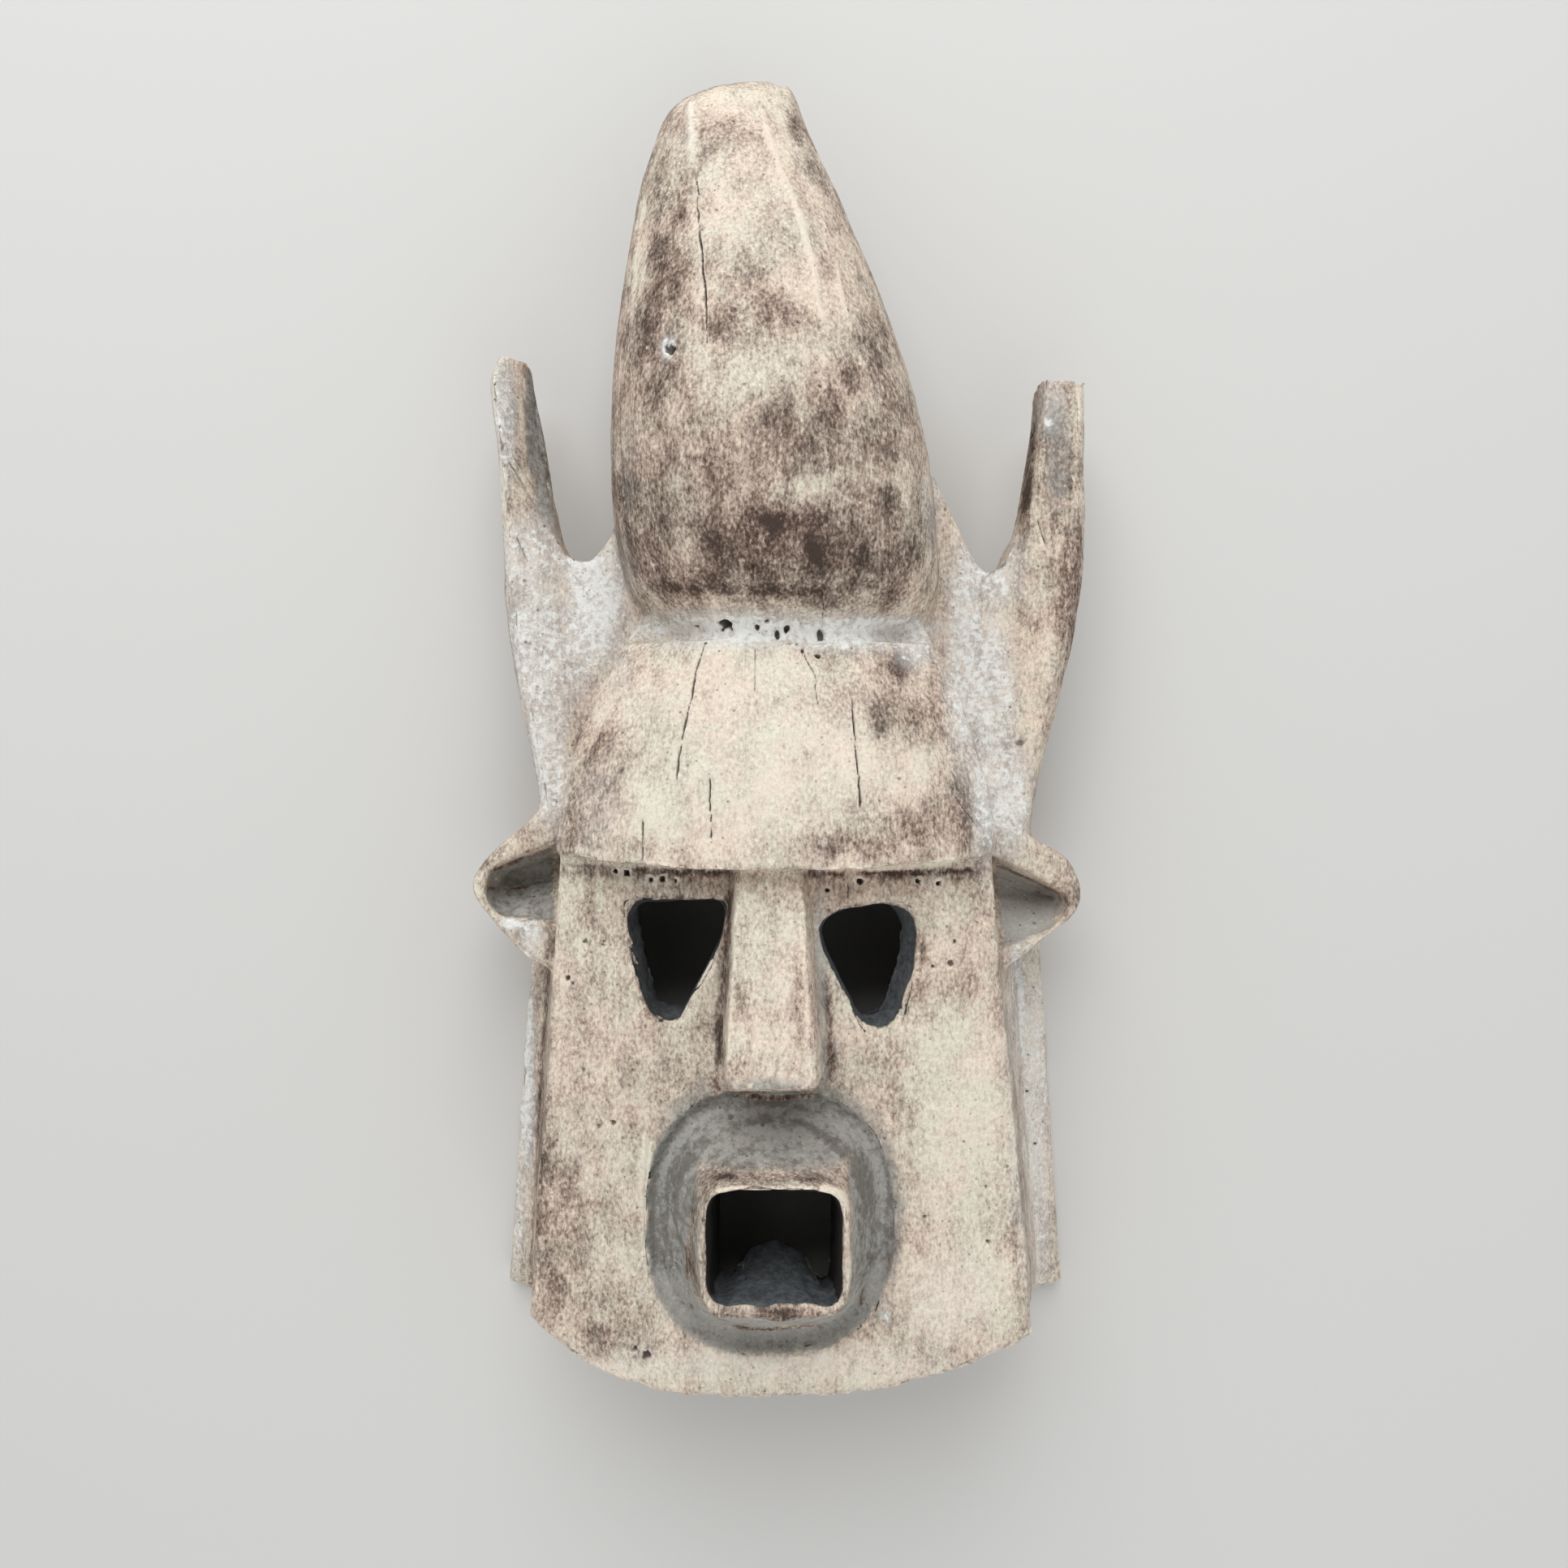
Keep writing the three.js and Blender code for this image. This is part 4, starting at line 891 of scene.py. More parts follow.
def ring_reach(points):
    """How far out from the mouth each point lies: 0 in its middle, 1 on the edge of the sunken ring"""
    across = np.abs((points[:, 0] - MOUTH_AT[0]) / MOUTH_RING[0]) ** RING_CORNERS
    down = np.abs((points[:, 1] - MOUTH_AT[1]) / MOUTH_RING[1]) ** RING_CORNERS
    return across + down


def snout_flank(points):
    """1 on the flank of the snout and in the sunken ring round it"""
    z = points[:, 2]
    return smoothstep(1.06, 0.94, ring_reach(points)) * smoothstep(LIP_Z - 1.0, LIP_Z - 3.0, z)


def ring_crease_shade(points):
    """1 in the crease along the edge of the sunken ring, which is darkened there as painted shade"""
    inside = (1.0 - ring_reach(points) ** (1.0 / RING_CORNERS)) * MOUTH_RING[0]
    on_face = points[:, 2] > FACE_EDGES_Z - 6.0
    return smoothstep(0.0, 1.0, inside) * smoothstep(3.6, 1.6, inside) * on_face


def ring_streaks(points):
    """Streaks that run round the mouth, from about -0.5 to 0.5"""
    out = ring_reach(points) ** (1.0 / RING_CORNERS) * MOUTH_RING[0]
    round_mouth = np.stack([out, points[:, 0], points[:, 1]], axis=1)
    return layered_noise(round_mouth, RING_STREAKS, SEEDS["ring_streaks"], 3) - 0.5


def lip_band(points):
    """1 on the flat end of the snout, and the distance in millimetres out from the edge of its hole"""
    x, y, z = points.T
    across = np.abs(x - LIP_AT[0]) / (LIP_OUTSIDE[0] + 1.5)
    down = np.abs(y - LIP_AT[1]) / (LIP_OUTSIDE[1] + 1.5)
    outside = np.maximum(across, down)
    off = np.maximum(np.abs(x - HOLE_AT[0]) - HOLE_SIZE[0], np.abs(y - HOLE_AT[1]) - HOLE_SIZE[1])
    return (outside < 1.0) * smoothstep(LIP_Z - 3.0, LIP_Z - 1.0, z), off


def curvature(points, normals, edges, rounds):
    """How far each point lies below (+) or above (-) the eased surface, in millimetres"""
    return ((relaxed(points, edges, rounds) - points) * normals).sum(axis=1)


def store(mesh, name, values):
    """Keep a number for each point of the mesh, for the material to read"""
    attribute = mesh.attributes.new(name, "FLOAT", "POINT")
    attribute.data.foreach_set("value", np.asarray(values, dtype=np.float32))


def carve(sizes):
    """The mask as one fine mesh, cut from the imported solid"""
    solid, marks = welded_solid(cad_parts[NODE])
    piece = bpy.data.objects.new(PIECE, solid)
    bpy.context.scene.collection.objects.link(piece)
    even = piece.modifiers.new("even mesh", "REMESH")
    even.mode = "VOXEL"
    even.voxel_size = sizes.voxel
    mesh = with_modifiers(piece)

    points, normals, edges = arrays(mesh)
    edge_distance = distance_to(points, marks, EDGE_REACH)
    hold = smoothstep(*EDGE_HELD, edge_distance)
    points = relaxed(points, edges, sizes.ease, hold * EDGE_HOLD)
    points = relaxed(points, edges, LAST_EASING)
    put_back(mesh, points)

    points, normals, edges = arrays(mesh)
    wide_lines = {name: (path, FINE_BAND, 1.0) for name, (path, _, _) in {**CRACKS, **CUTS}.items()}
    close = line_cuts(points, normals, wide_lines, 1.0) + pit_cuts(points, normals) > LEAST_CUT
    refine(mesh, close, sizes.fine)

    points, normals, edges = arrays(mesh)
    edge_distance = distance_to(points, marks, EDGE_REACH)
    depth = tool_relief(points, normals, sizes) + edge_chips(points, edge_distance, sizes)
    depth -= ridge_rise(points, normals)
    cuts = line_cuts(points, normals, CRACKS, 1.0)
    cuts = np.maximum(cuts, line_cuts(points, normals, CUTS, 0.3))
    cuts = np.maximum(cuts, pit_cuts(points, normals))
    free = smoothstep(*FOOT_KEPT, points[:, 2])
    points = points - normals * ((depth * (0.3 + 0.7 * free) + cuts) * free)[:, None]
    low, high = (np.array(corner) / MM for corner in CAD_BOX)
    put_back(mesh, np.clip(points, low, high))

    points, normals, edges = arrays(mesh)
    store(mesh, "fine_dip", curvature(points, normals, edges, FINE_DIP_ROUNDS))
    store(mesh, "broad_dip", curvature(points, normals, edges, BROAD_DIP_ROUNDS))
    store(mesh, "cut", np.clip(cuts / DIRTY_DEPTH, 0.0, 1.0))

    mesh.calc_loop_triangles()
    fewer = piece.modifiers.new("fewer faces", "DECIMATE")
    fewer.ratio = min(1.0, sizes.triangles / len(mesh.loop_triangles))
    mesh = with_modifiers(piece)
    mesh.name = PIECE
    return piece


def finish_masks(mesh):
    """Where each finish lies, and where light and shade are painted, kept on the mesh's points"""
    points, normals, _ = arrays(mesh)
    x, y, z = points.T
    facing = facing_camera(points, normals)
    seen = smoothstep(*SEEN_FOR_FINISH, facing)
    lines = strokes(points, normals)
    under = hollow_side(points, normals)
    eyes = eye_walls(points, normals)
    mouth = mouth_walls(points, normals)
    flank = snout_flank(points) * (1.0 - mouth)
    lip, off = lip_band(points)
    bare = (1.0 - under) * (1.0 - eyes) * (1.0 - mouth)
    plain = bare * (1.0 - flank) * (1.0 - lip)
    crest = smoothstep(GROOVE_Y + 2.0, GROOVE_Y + 12.0, y) * smoothstep(*CREST_SIDE_X, np.abs(x))
    # Painted shade: the crest's steep flanks, those facing left most, are browned as if in shade
    turned = smoothstep(0.9, 0.35, normals[:, 2]) * np.where(normals[:, 0] < 0.0, 1.0, 0.35)
    inner_line = lip * smoothstep(2.0, 0.9, off)
    low_lip = lip * smoothstep(LOW_LIP_Y, LOW_LIP_Y - 6.0, y)
    near_lip = flank * smoothstep(8.0, 3.0, off)
    brown = painted(points, PATINA) * seen + 0.3 * (1.0 - seen) + 0.45 * crest * turned
    brown = brown * plain + lip * (0.95 + 0.2 * low_lip) * (1.0 - 0.5 * inner_line) + 0.6 * near_lip
    cream = painted(points, CREAM) * seen * np.maximum(plain, lip) + 0.2 * inner_line
    # The level also carries painted shade: the shadow lines among the strokes, the crest's flank shade and
    # the band under the brow
    stain_and_shade = BARE_STAIN + CREAM_STAIN * cream + PATINA_STAIN * brown
    stain_and_shade += UMBER_STAIN * painted(points, UMBER) * seen * plain + lines * bare
    # Painted shadow: a thin dark band on the face just under the brow's edge
    painted_brow_shadow = smoothstep(3.4, 1.6, BROW_Y - y) * (y < BROW_Y)
    painted_brow_shadow = painted_brow_shadow * (z < BROW_FRONT_Z) * (z > FACE_EDGES_Z - 2.0)
    ears = ear_grey(points, normals)
    # Painted light: the right ear's hollow is made paler, by a pale veil and lighter greys, as if more
    # light fell into it
    lit_right_ear = ears * (x > 0.0)
    residue_and_light = painted(points, RESIDUE_AND_LIGHT) * seen * plain * smoothstep(0.6, 0.2, ears) + 0.4 * lit_right_ear
    store(mesh, "stain_and_shade", stain_and_shade + 0.3 * painted_brow_shadow * plain + RESIDUE_STAIN * residue_and_light)
    store(mesh, "residue_and_light", residue_and_light)
    # Painted light: the snout's lower flank is kept less grey, and its lower and upper flanks are lighter
    # in their greys, as if lit
    lit_low_flank = flank * smoothstep(LOW_LIP_Y - 2.0, LOW_LIP_Y - 14.0, y)
    ring_grey = flank * (1.0 - 0.3 * lit_low_flank) * (1.0 - 0.6 * near_lip)
    grey = np.maximum(np.maximum(painted(points, GREY) * seen * plain, ring_grey), ears)
    store(mesh, "grey", grey * (1.0 - smoothstep(0.15, 0.45, np.abs(lines))))
    store(mesh, "lip", lip)
    store(mesh, "sheltered", smoothstep(*SHELTERED, facing))
    lit_high_flank = flank * smoothstep(MOUTH_AT[1] + 24.0, MOUTH_AT[1] + 38.0, y)
    ring_tone_and_light = (ring_streaks(points) - 0.05) * flank + 0.3 * lit_low_flank + 0.16 * lit_high_flank
    store(mesh, "streak_and_light", ring_tone_and_light + 0.06 * ears + 0.24 * lit_right_ear)
    # Painted shade in the crease round the sunken ring
    store(mesh, "crease_shade", ring_crease_shade(points) * bare)
    # Painted light and shade in the holes: the mouth's walls that face the key lamp and the eyes' walls
    # take slate grey, and the hollow's inside and the holes' walls are soot black, partly as painted shade
    lit_wall = mouth * smoothstep(0.3, 0.6, normals[:, 1])
    eye_wall_light = np.where(x < 0.0, EYE_WALL_LIGHT["left"], EYE_WALL_LIGHT["right"])
    store(mesh, "lit_slate", np.maximum(eyes * eye_wall_light, lit_wall))
    store(mesh, "soot_and_shade", np.maximum(under, np.maximum(mouth, eyes)))


# Materials

def node(tree, kind, inputs=None, **settings):
    """A new node with its settings and inputs, each input a value or another node's socket"""
    made = tree.nodes.new("ShaderNode" + kind)
    for name, value in settings.items():
        setattr(made, name, value)
    for name, value in (inputs or {}).items():
        if isinstance(value, bpy.types.NodeSocket):
            tree.links.new(value, made.inputs[name])
        else:
            made.inputs[name].default_value = value
    return made


def maths(tree, operation, *values):
    made = node(tree, "Math", dict(enumerate(values)), operation=operation)
    return made.outputs[0]


def mixed(tree, factor, first, second):
    """Colour first, turning into colour second as factor goes from 0 to 1"""
    made = node(tree, "Mix", {0: factor, 6: first, 7: second}, data_type="RGBA")
    return made.outputs[2]


def ranged(tree, value, low, high, to_low=0.0, to_high=1.0):
    made = node(tree, "MapRange", {0: value, 1: low, 2: high, 3: to_low, 4: to_high},
                interpolation_type="SMOOTHSTEP")
    return made.outputs[0]


def new_group(name, inputs, outputs):
    """An empty node group with float sockets, its inputs and its output node"""
    tree = bpy.data.node_groups.new(name, "ShaderNodeTree")
    for label, default in inputs:
        kind = "NodeSocketVector" if default is None else "NodeSocketFloat"
        socket = tree.interface.new_socket(label, in_out="INPUT", socket_type=kind)
        if default is not None:
            socket.default_value = default
    for label in outputs:
        tree.interface.new_socket(label, in_out="OUTPUT", socket_type="NodeSocketFloat")
    start = tree.nodes.new("NodeGroupInput")
    end = tree.nodes.new("NodeGroupOutput")
    return tree, start.outputs, end.inputs


def ragged_group():
    """A soft mask broken up by noise into flecks that cover as much of the surface as the mask says"""
    tree, given, result = new_group(
        "Ragged patch",
        [("Coordinates", None), ("Amount", 0.0), ("Grain Size", 0.004), ("Raggedness", 0.8),
         ("Softness", 0.15)],
        ["Mask"])
    scale = maths(tree, "DIVIDE", 1.0, given["Grain Size"])
    noise = node(tree, "TexNoise", {"Vector": given["Coordinates"], "Scale": scale, "Detail": 5.0,
                                    "Roughness": 0.62})
    centred = maths(tree, "SUBTRACT", noise.outputs[0], 0.5)
    spread = maths(tree, "MULTIPLY", given["Raggedness"], 0.36)
    stretched = maths(tree, "MULTIPLY", given["Amount"], maths(tree, "ADD", spread, 1.0))
    level = maths(tree, "MULTIPLY_ADD", spread, -0.5, stretched)
    shifted = maths(tree, "MULTIPLY_ADD", centred, given["Raggedness"], level)
    low = maths(tree, "SUBTRACT", 0.5, given["Softness"])
    high = maths(tree, "ADD", 0.5, given["Softness"])
    tree.links.new(ranged(tree, shifted, low, high), result["Mask"])
    return tree


def grain_group():
    """Fibres of the wood that run up the mask"""
    tree, given, result = new_group(
        "Wood grain", [("Coordinates", None), ("Fibre Width", 0.0012), ("Length", 24.0)],
        ["Streaks", "Height"])
    along = maths(tree, "DIVIDE", 1.0, given["Length"])
    squeeze = node(tree, "CombineXYZ", {0: 1.0, 1: along, 2: 1.0})
    narrow = node(tree, "VectorMath", {0: given["Coordinates"], 1: squeeze.outputs[0]},
                  operation="MULTIPLY")
    scale = maths(tree, "DIVIDE", 1.0, given["Fibre Width"])
    fine = node(tree, "TexNoise", {"Vector": narrow.outputs[0], "Scale": scale, "Detail": 3.0,
                                   "Roughness": 0.6, "Distortion": 0.25})
    broad_scale = maths(tree, "MULTIPLY", scale, 0.22)
    broad = node(tree, "TexNoise", {"Vector": narrow.outputs[0], "Scale": broad_scale, "Detail": 2.0})
    both = maths(tree, "MULTIPLY", broad.outputs[0], 0.45)
    both = maths(tree, "MULTIPLY_ADD", fine.outputs[0], 0.55, both)
    tree.links.new(ranged(tree, both, 0.32, 0.68), result["Streaks"])
    tree.links.new(fine.outputs[0], result["Height"])
    return tree


def stain_group():
    """How dark the wood is, from its stain and painted shade, broken into clouds, flecks and specks that
    grow with it
    """
    tree, given, result = new_group(
        "Stain", [("Coordinates", None), ("Level", 0.3), ("Cloud Size", 0.009), ("Fleck Size", 0.003),
                  ("Speck Size", 0.0011), ("Contrast", 1.0)], ["Stain"])

    squeezed = node(tree, "VectorMath", {0: given["Coordinates"], 1: STAIN_SQUEEZE}, operation="MULTIPLY")

    def noise(size, detail, roughness):
        scale = maths(tree, "DIVIDE", 1.0, given[size])
        made = node(tree, "TexNoise", {"Vector": squeezed.outputs[0], "Scale": scale, "Detail": detail,
                                       "Roughness": roughness})
        return made.outputs[0]

    def swing(value, least, growth):
        strength = maths(tree, "MULTIPLY_ADD", given["Level"], growth, least)
        return maths(tree, "MULTIPLY", value, maths(tree, "MULTIPLY", strength, given["Contrast"]))

    clouds = maths(tree, "SUBTRACT", noise("Cloud Size", 5.0, 0.65), 0.5)
    specks = maths(tree, "SUBTRACT", noise("Speck Size", 4.0, 0.7), 0.5)
    flecks = ranged(tree, noise("Fleck Size", 4.0, 0.7), 0.54, 0.62)
    total = maths(tree, "ADD", given["Level"], swing(clouds, 0.9, 1.0))
    total = maths(tree, "ADD", total, swing(specks, 1.5, 0.4))
    total = maths(tree, "ADD", total, swing(flecks, 0.02, 0.1))
    tree.links.new(total, result["Stain"])
    return tree


def speck_group():
    """Small round specks of uneven size"""
    tree, given, result = new_group(
        "Specks", [("Coordinates", None), ("Spacing", 0.006), ("Size", 0.2), ("Amount", 0.5)], ["Mask"])
    scale = maths(tree, "DIVIDE", 1.0, given["Spacing"])
    cells = node(tree, "TexVoronoi", {"Vector": given["Coordinates"], "Scale": scale, "Randomness": 1.0})
    chance = node(tree, "SeparateColor", {0: cells.outputs["Color"]})
    present = maths(tree, "LESS_THAN", chance.outputs[0], given["Amount"])
    uneven = maths(tree, "MULTIPLY_ADD", chance.outputs[1], 0.8, 0.35)
    radius = maths(tree, "MULTIPLY", given["Size"], uneven)
    inner = maths(tree, "MULTIPLY", radius, 0.55)
    dot = ranged(tree, cells.outputs["Distance"], radius, inner)
    tree.links.new(maths(tree, "MULTIPLY", dot, present), result["Mask"])
    return tree


def placed(tree, group, **values):
    """A node group placed in a material with its own values"""
    made = tree.nodes.new("ShaderNodeGroup")
    made.node_tree = group
    for name, value in values.items():
        socket = made.inputs[name.replace("_", " ")]
        if isinstance(value, bpy.types.NodeSocket):
            tree.links.new(value, socket)
        else:
            socket.default_value = value
    return made.outputs


def wood_material(colours):
    """Dry carved wood under patina, pale residue, grey grime and soot, some of which are painted light and
    shade
    """
    material = bpy.data.materials.new("weathered_wood")
    material.use_nodes = True
    tree = material.node_tree
    tree.nodes.clear()
    ragged = ragged_group()
    grain = grain_group()
    stain_and_shade = stain_group()
    specks = speck_group()
    where = node(tree, "TexCoord").outputs["Object"]
    paint = {name: (*getattr(colours, name), 1.0) for name in WoodColours.__annotations__}

    def mask(name):
        return node(tree, "Attribute", attribute_name=name).outputs["Fac"]

    def broken(amount, size, raggedness, softness):
        return placed(tree, ragged, Coordinates=where, Amount=amount, Grain_Size=size,
                      Raggedness=raggedness, Softness=softness)["Mask"]

    def laid(base, amount, strength, name):
        return mixed(tree, maths(tree, "MULTIPLY", amount, strength), base, paint[name])

    def less(value, mask_name, share):
        """The value, less by a share of itself where a mask is 1"""
        return maths(tree, "MULTIPLY", value, maths(tree, "MULTIPLY_ADD", mask(mask_name), -share, 1.0))

    # The wood under everything, from bleached cream to the darkest patina, with painted shadow lines and
    # shade carried in the same level, and with calmer stain and clearer fibres where it faces away from the
    # camera
    fibres = placed(tree, grain, Coordinates=where, Fibre_Width=0.001, Length=18.0)
    calm = maths(tree, "MULTIPLY_ADD", mask("sheltered"), -0.5, 1.0)
    stain_and_shade_level = placed(tree, stain_and_shade, Coordinates=where, Level=mask("stain_and_shade"), Contrast=calm)["Stain"]
    streaks = maths(tree, "SUBTRACT", fibres["Streaks"], 0.5)
    streak_strength = maths(tree, "MULTIPLY_ADD", mask("sheltered"), -0.2, -0.12)
    stain_and_shade_level = maths(tree, "MULTIPLY_ADD", streaks, streak_strength, stain_and_shade_level)
    ramp = node(tree, "ValToRGB", {0: stain_and_shade_level})
    while len(ramp.color_ramp.elements) < len(STAIN_COLOURS):
        ramp.color_ramp.elements.new(0.5)
    for stop, (name, position) in zip(ramp.color_ramp.elements, STAIN_COLOURS.items()):
        stop.position = position
        stop.color = paint[name]
    hue = node(tree, "TexNoise", {"Vector": where, "Scale": HUES_PER_METRE, "Detail": 4.0,
                                  "Roughness": 0.7})
    tint = mixed(tree, ranged(tree, hue.outputs[0], 0.4, 0.6), paint["reddish"], paint["olive"])
    base = node(tree, "VectorMath", {0: ramp.outputs[0], 1: tint}, operation="MULTIPLY").outputs[0]
    smoke = node(tree, "TexNoise", {"Vector": where, "Scale": SMOKE_PER_METRE, "Detail": 5.0,
                                    "Roughness": 0.75})
    # The smoky greys are lighter where painted light on the snout's flanks and in the ears is carried in
    smoke_and_light = maths(tree, "MULTIPLY_ADD", mask("streak_and_light"), 0.65, smoke.outputs[0])
    greys = mixed(tree, ranged(tree, smoke_and_light, 0.36, 0.64), paint["dark_grey"], paint["grey"])
    greyed = maths(tree, "MULTIPLY", broken(mask("grey"), 0.004, 0.6, 0.3), COVER["grey"])
    base = mixed(tree, greyed, base, greys)

    # Dips are darkened with grime, dirt and painted shade together, and the crease round the sunken ring
    # with painted shade; pale dust lies in the groove and on the webs, in a few shaded places as painted
    # light; raised edges are rubbed pale
    dip_grime_and_shade = less(less(ranged(tree, mask("broad_dip"), 0.15, 1.4), "residue_and_light", 0.9), "grey", 0.95)
    dip_grime_and_shade = maths(tree, "MAXIMUM", dip_grime_and_shade, maths(tree, "MULTIPLY", mask("crease_shade"), 0.35))
    base = laid(base, broken(dip_grime_and_shade, 0.003, 1.6, 0.4), COVER["dip grime and shade"], "grime_and_shade")
    pale = broken(maths(tree, "MULTIPLY", mask("residue_and_light"), 0.6), 0.0024, 3.0, 0.24)
    base = laid(base, mask("residue_and_light"), COVER["dust and light"], "residue_and_light")
    base = laid(base, pale, COVER["pale flecks"], "residue_and_light")
    edge = ranged(tree, mask("fine_dip"), -0.04, -0.26)
    base = laid(base, less(broken(edge, 0.004, 1.0, 0.3), "lip", 0.7), COVER["rubbed edges"], "cream")

    # Small dark specks all over the bare wood
    small = placed(tree, specks, Coordinates=where, Spacing=0.0058, Size=0.13, Amount=0.4)["Mask"]
    tiny = placed(tree, specks, Coordinates=where, Spacing=0.0024, Size=0.2, Amount=0.33)["Mask"]
    spots = maths(tree, "MAXIMUM", small, maths(tree, "MULTIPLY", tiny, 0.7))
    base = laid(base, spots, COVER["specks"], "grime_and_shade")

    # Dirt in cracks, holes and cuts, then soot black on the inside and the walls of the holes, partly as
    # painted shade, and slate grey as painted light on the eyes' walls and on the mouth's walls that face
    # the key lamp
    base = laid(base, ranged(tree, mask("cut"), 0.12, 0.7), COVER["cuts"], "grime_and_shade")
    base = laid(base, broken(mask("soot_and_shade"), 0.01, 0.35, 0.3), COVER["soot_and_shade"], "soot_and_shade")
    slates = mixed(tree, ranged(tree, smoke.outputs[0], 0.36, 0.64), paint["dark_slate"], paint["lit_slate"])
    slated = maths(tree, "MULTIPLY", broken(mask("lit_slate"), 0.004, 0.6, 0.4), COVER["lit_slate"])
    base = mixed(tree, slated, base, slates)

    # The tone wanders a little over every finish
    speckle = node(tree, "TexNoise", {"Vector": where, "Scale": SPECKLE_PER_METRE, "Detail": 3.0,
                                      "Roughness": 0.7})
    tone = maths(tree, "MULTIPLY_ADD", speckle.outputs[0], 0.7, 0.65)
    base = node(tree, "VectorMath", {0: base, "Scale": tone}, operation="SCALE").outputs[0]

    rough = ranged(tree, stain_and_shade_level, 0.2, 0.9, 0.9, 0.72)
    wear = node(tree, "TexNoise", {"Vector": where, "Scale": WEAR_PER_METRE, "Detail": 5.0,
                                   "Roughness": 0.65})
    height = maths(tree, "MULTIPLY", wear.outputs[0], 0.5)
    height = maths(tree, "MULTIPLY_ADD", fibres["Height"], 0.6, height)
    height = maths(tree, "SUBTRACT", height, maths(tree, "MULTIPLY", spots, 0.55))
    height = maths(tree, "MULTIPLY_ADD", pale, 0.25, height)
    bump = node(tree, "Bump", {"Strength": 0.85, "Distance": 0.0007, "Height": height})
    shader = node(tree, "BsdfPrincipled", {"Base Color": base, "Roughness": rough, "IOR": 1.45,
                                           "Specular IOR Level": 0.28, "Normal": bump.outputs[0]})
    output = node(tree, "OutputMaterial")
    tree.links.new(shader.outputs[0], output.inputs[0])
    return material


def floor_material(stage):
    """A plain, pale, matt floor"""
    material = bpy.data.materials.new("pale_floor")
    material.use_nodes = True
    shader = material.node_tree.nodes["Principled BSDF"]
    shader.inputs["Base Color"].default_value = (*stage.floor, 1.0)
    shader.inputs["Roughness"].default_value = 0.9
    shader.inputs["Specular IOR Level"].default_value = 0.15
    return material


class MASK_OT_carve(bpy.types.Operator):
    """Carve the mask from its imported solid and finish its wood"""

    bl_idname = "mask.carve"
    bl_label = "Carve the mask"

    def execute(self, context):
        piece = carve(context.scene.mask_carving)
        if len(piece.data.vertices) < FEWEST_POINTS:
            raise RuntimeError("The even mesh of the mask came out empty")
        finish_masks(piece.data)
        piece.data.materials.clear()
        piece.data.materials.append(wood_material(context.scene.mask_colours))
        piece.data.polygons.foreach_set("use_smooth", [True] * len(piece.data.polygons))
        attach(piece, "root")
        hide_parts(NODE)
        return {"FINISHED"}


def floor_plane(stage):
    """The floor, with its top at the height that the mask rests on"""
    half = stage.floor_side / 2.0
    shape = bmesh.new()
    corners = ((-half, -half), (half, -half), (half, half), (-half, half))
    shape.faces.new([shape.verts.new((x, y, 0.0)) for x, y in corners])
    mesh = bpy.data.meshes.new("floor")
    shape.to_mesh(mesh)
    shape.free()
    floor = bpy.data.objects.new("floor", mesh)
    floor.data.materials.append(floor_material(stage))
    bpy.context.scene.collection.objects.link(floor)
    return floor


def soft_light(name, place, power):
    """A large square lamp at a place, turned towards the mask"""
    light = bpy.data.lights.new(name, "AREA")
    light.shape = "SQUARE"
    light.size = LAMP_SIDE
    light.energy = power
    lamp = bpy.data.objects.new(name, light)
    lamp.location = place
    direction = Vector(LAMPS_AIM) - Vector(place)
    lamp.rotation_euler = direction.to_track_quat("-Z", "Y").to_euler()
    bpy.context.scene.collection.objects.link(lamp)


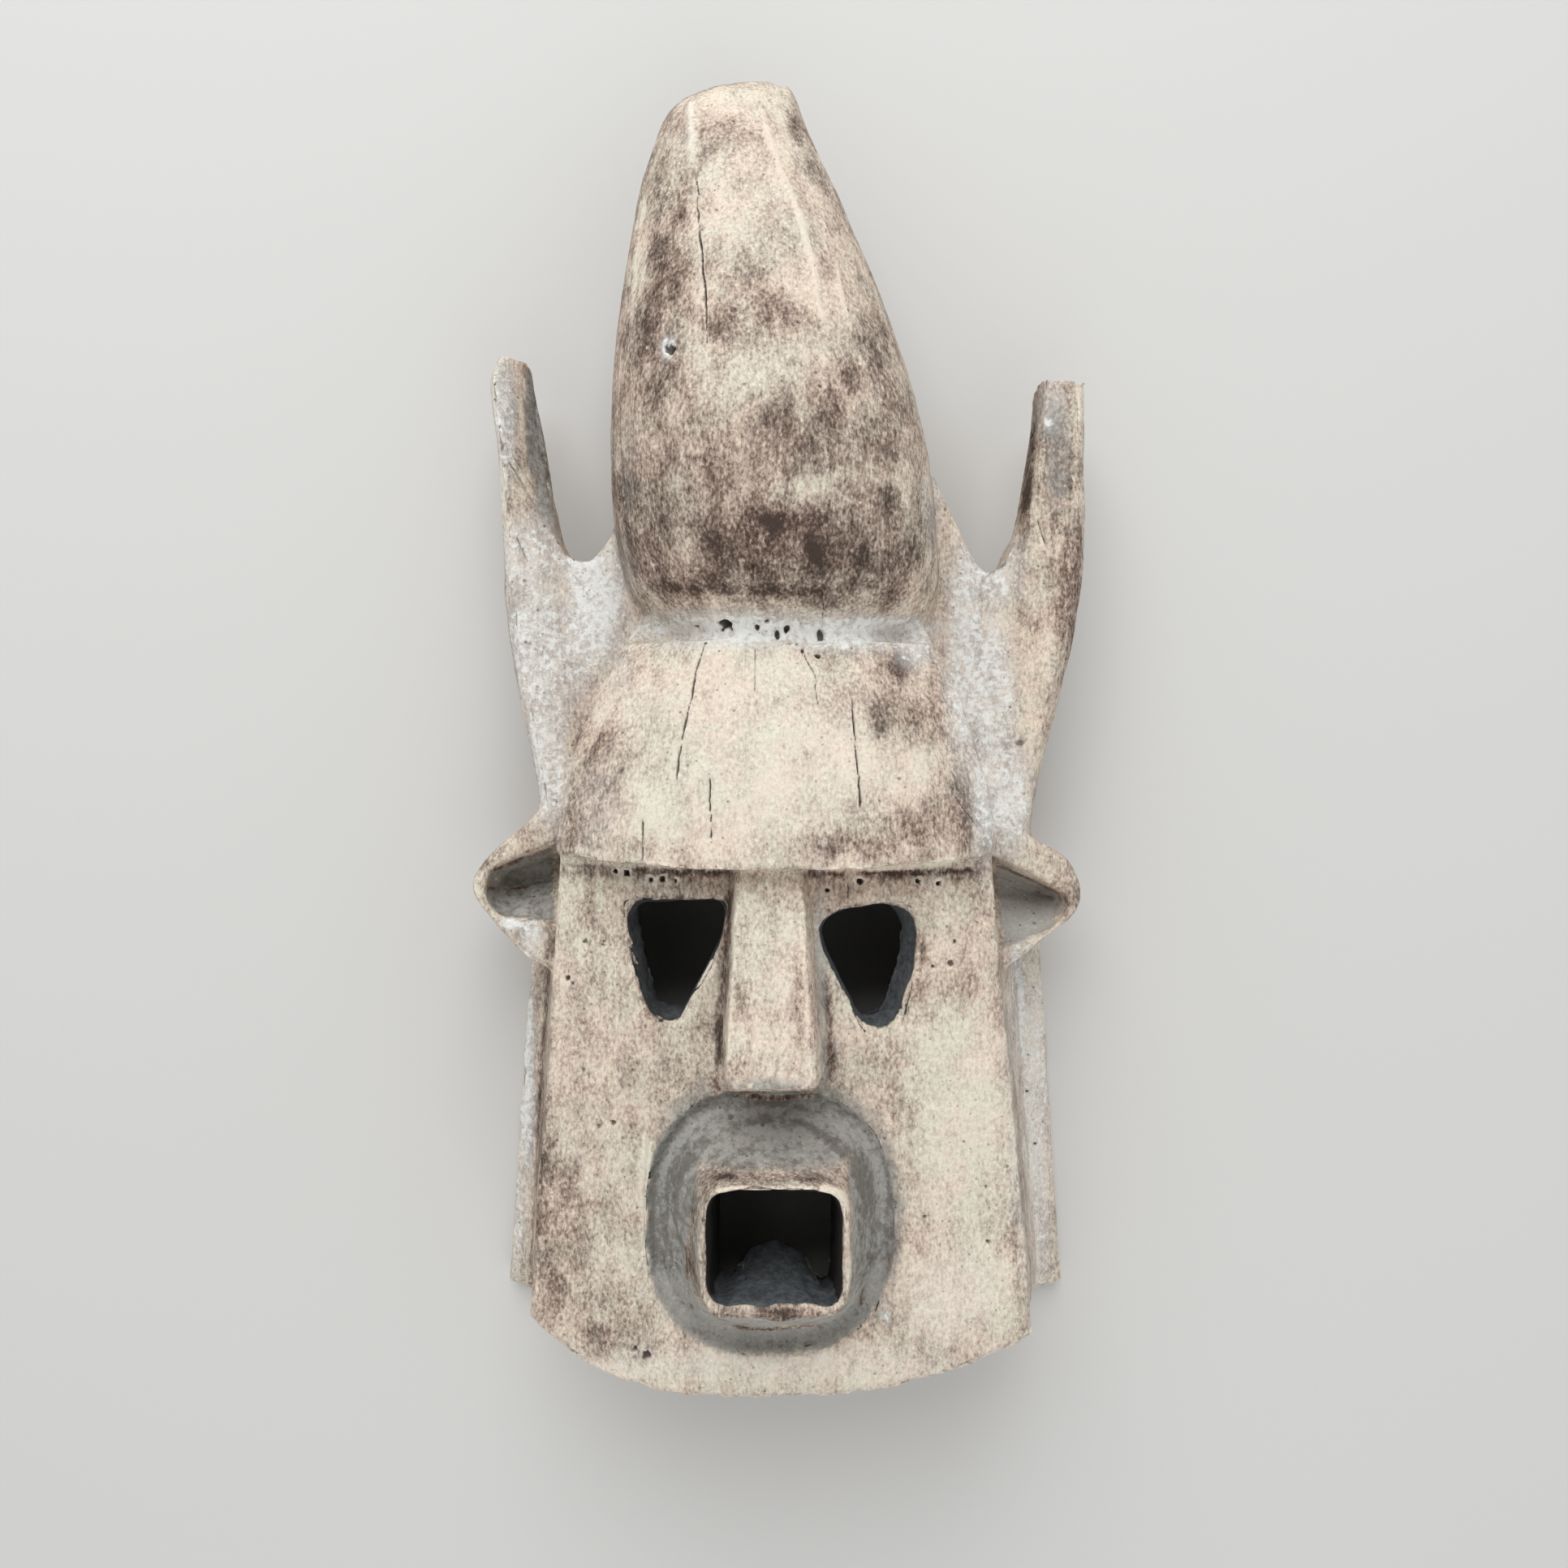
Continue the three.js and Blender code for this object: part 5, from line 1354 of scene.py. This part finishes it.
def surround(stage):
    """Even light from all round, weak straight overhead"""
    world = bpy.data.worlds.new("surround")
    world.use_nodes = True
    tree = world.node_tree
    tree.nodes.clear()
    direction = node(tree, "TexCoord").outputs["Generated"]
    towards = node(tree, "VectorMath", {0: direction, 1: OVERHEAD}, operation="DOT_PRODUCT")
    strength = ranged(tree, towards.outputs["Value"], *OVERHEAD_SPREAD, stage.surround, stage.overhead)
    background = node(tree, "Background", {"Color": (1.0, 1.0, 1.0, 1.0), "Strength": strength})
    output = node(tree, "OutputWorld")
    tree.links.new(background.outputs[0], output.inputs[0])
    return world


class MASK_OT_stage(bpy.types.Operator):
    """Lay a pale floor, set soft studio light and put the camera over the mask"""

    bl_idname = "mask.stage"
    bl_label = "Set the stage"

    def execute(self, context):
        stage = context.scene.mask_stage
        floor_plane(stage)
        soft_light("key", KEY_AT, stage.key_power)
        soft_light("fill", FILL_AT, stage.fill_power)
        context.scene.world = surround(stage)
        context.scene.view_settings.view_transform = "Standard"
        camera = bpy.data.cameras.new("camera")
        camera.sensor_width = SENSOR_WIDTH
        camera.lens = SENSOR_WIDTH * PHOTO_FOCAL / PHOTO_SIDE
        camera.shift_x = (PHOTO_SIDE / 2.0 - PHOTO_MIDDLE[0]) / PHOTO_SIDE
        camera.clip_start = NEAREST_SEEN
        eye = bpy.data.objects.new("camera", camera)
        eye.location = [value * MM for value in CAMERA_AT]
        context.scene.collection.objects.link(eye)
        context.scene.camera = eye
        return {"FINISHED"}


class MASK_PT_panel(bpy.types.Panel):
    """Sizes, colours and steps of the mask"""

    bl_label = "Face mask"
    bl_idname = "MASK_PT_panel"
    bl_space_type = "VIEW_3D"
    bl_region_type = "UI"
    bl_category = "Mask"

    def draw(self, context):
        for group in ("mask_carving", "mask_colours", "mask_stage"):
            values = getattr(context.scene, group)
            for name in values.__annotations__:
                self.layout.prop(values, name)
        for step in STEPS:
            self.layout.operator(step.bl_idname)


STEPS = (MASK_OT_stage, MASK_OT_carve)
CLASSES = (CarvingSizes, WoodColours, StageSettings, *STEPS, MASK_PT_panel)
GROUPS = {"mask_carving": CarvingSizes, "mask_colours": WoodColours, "mask_stage": StageSettings}


def register():
    for item in CLASSES:
        bpy.utils.register_class(item)
    for name, group in GROUPS.items():
        setattr(bpy.types.Scene, name, PointerProperty(type=group))


def unregister():
    for name in GROUPS:
        delattr(bpy.types.Scene, name)
    for item in reversed(CLASSES):
        bpy.utils.unregister_class(item)


def main():
    register()
    bpy.ops.mask.stage()
    bpy.ops.mask.carve()


if __name__ == "__main__":
    main()
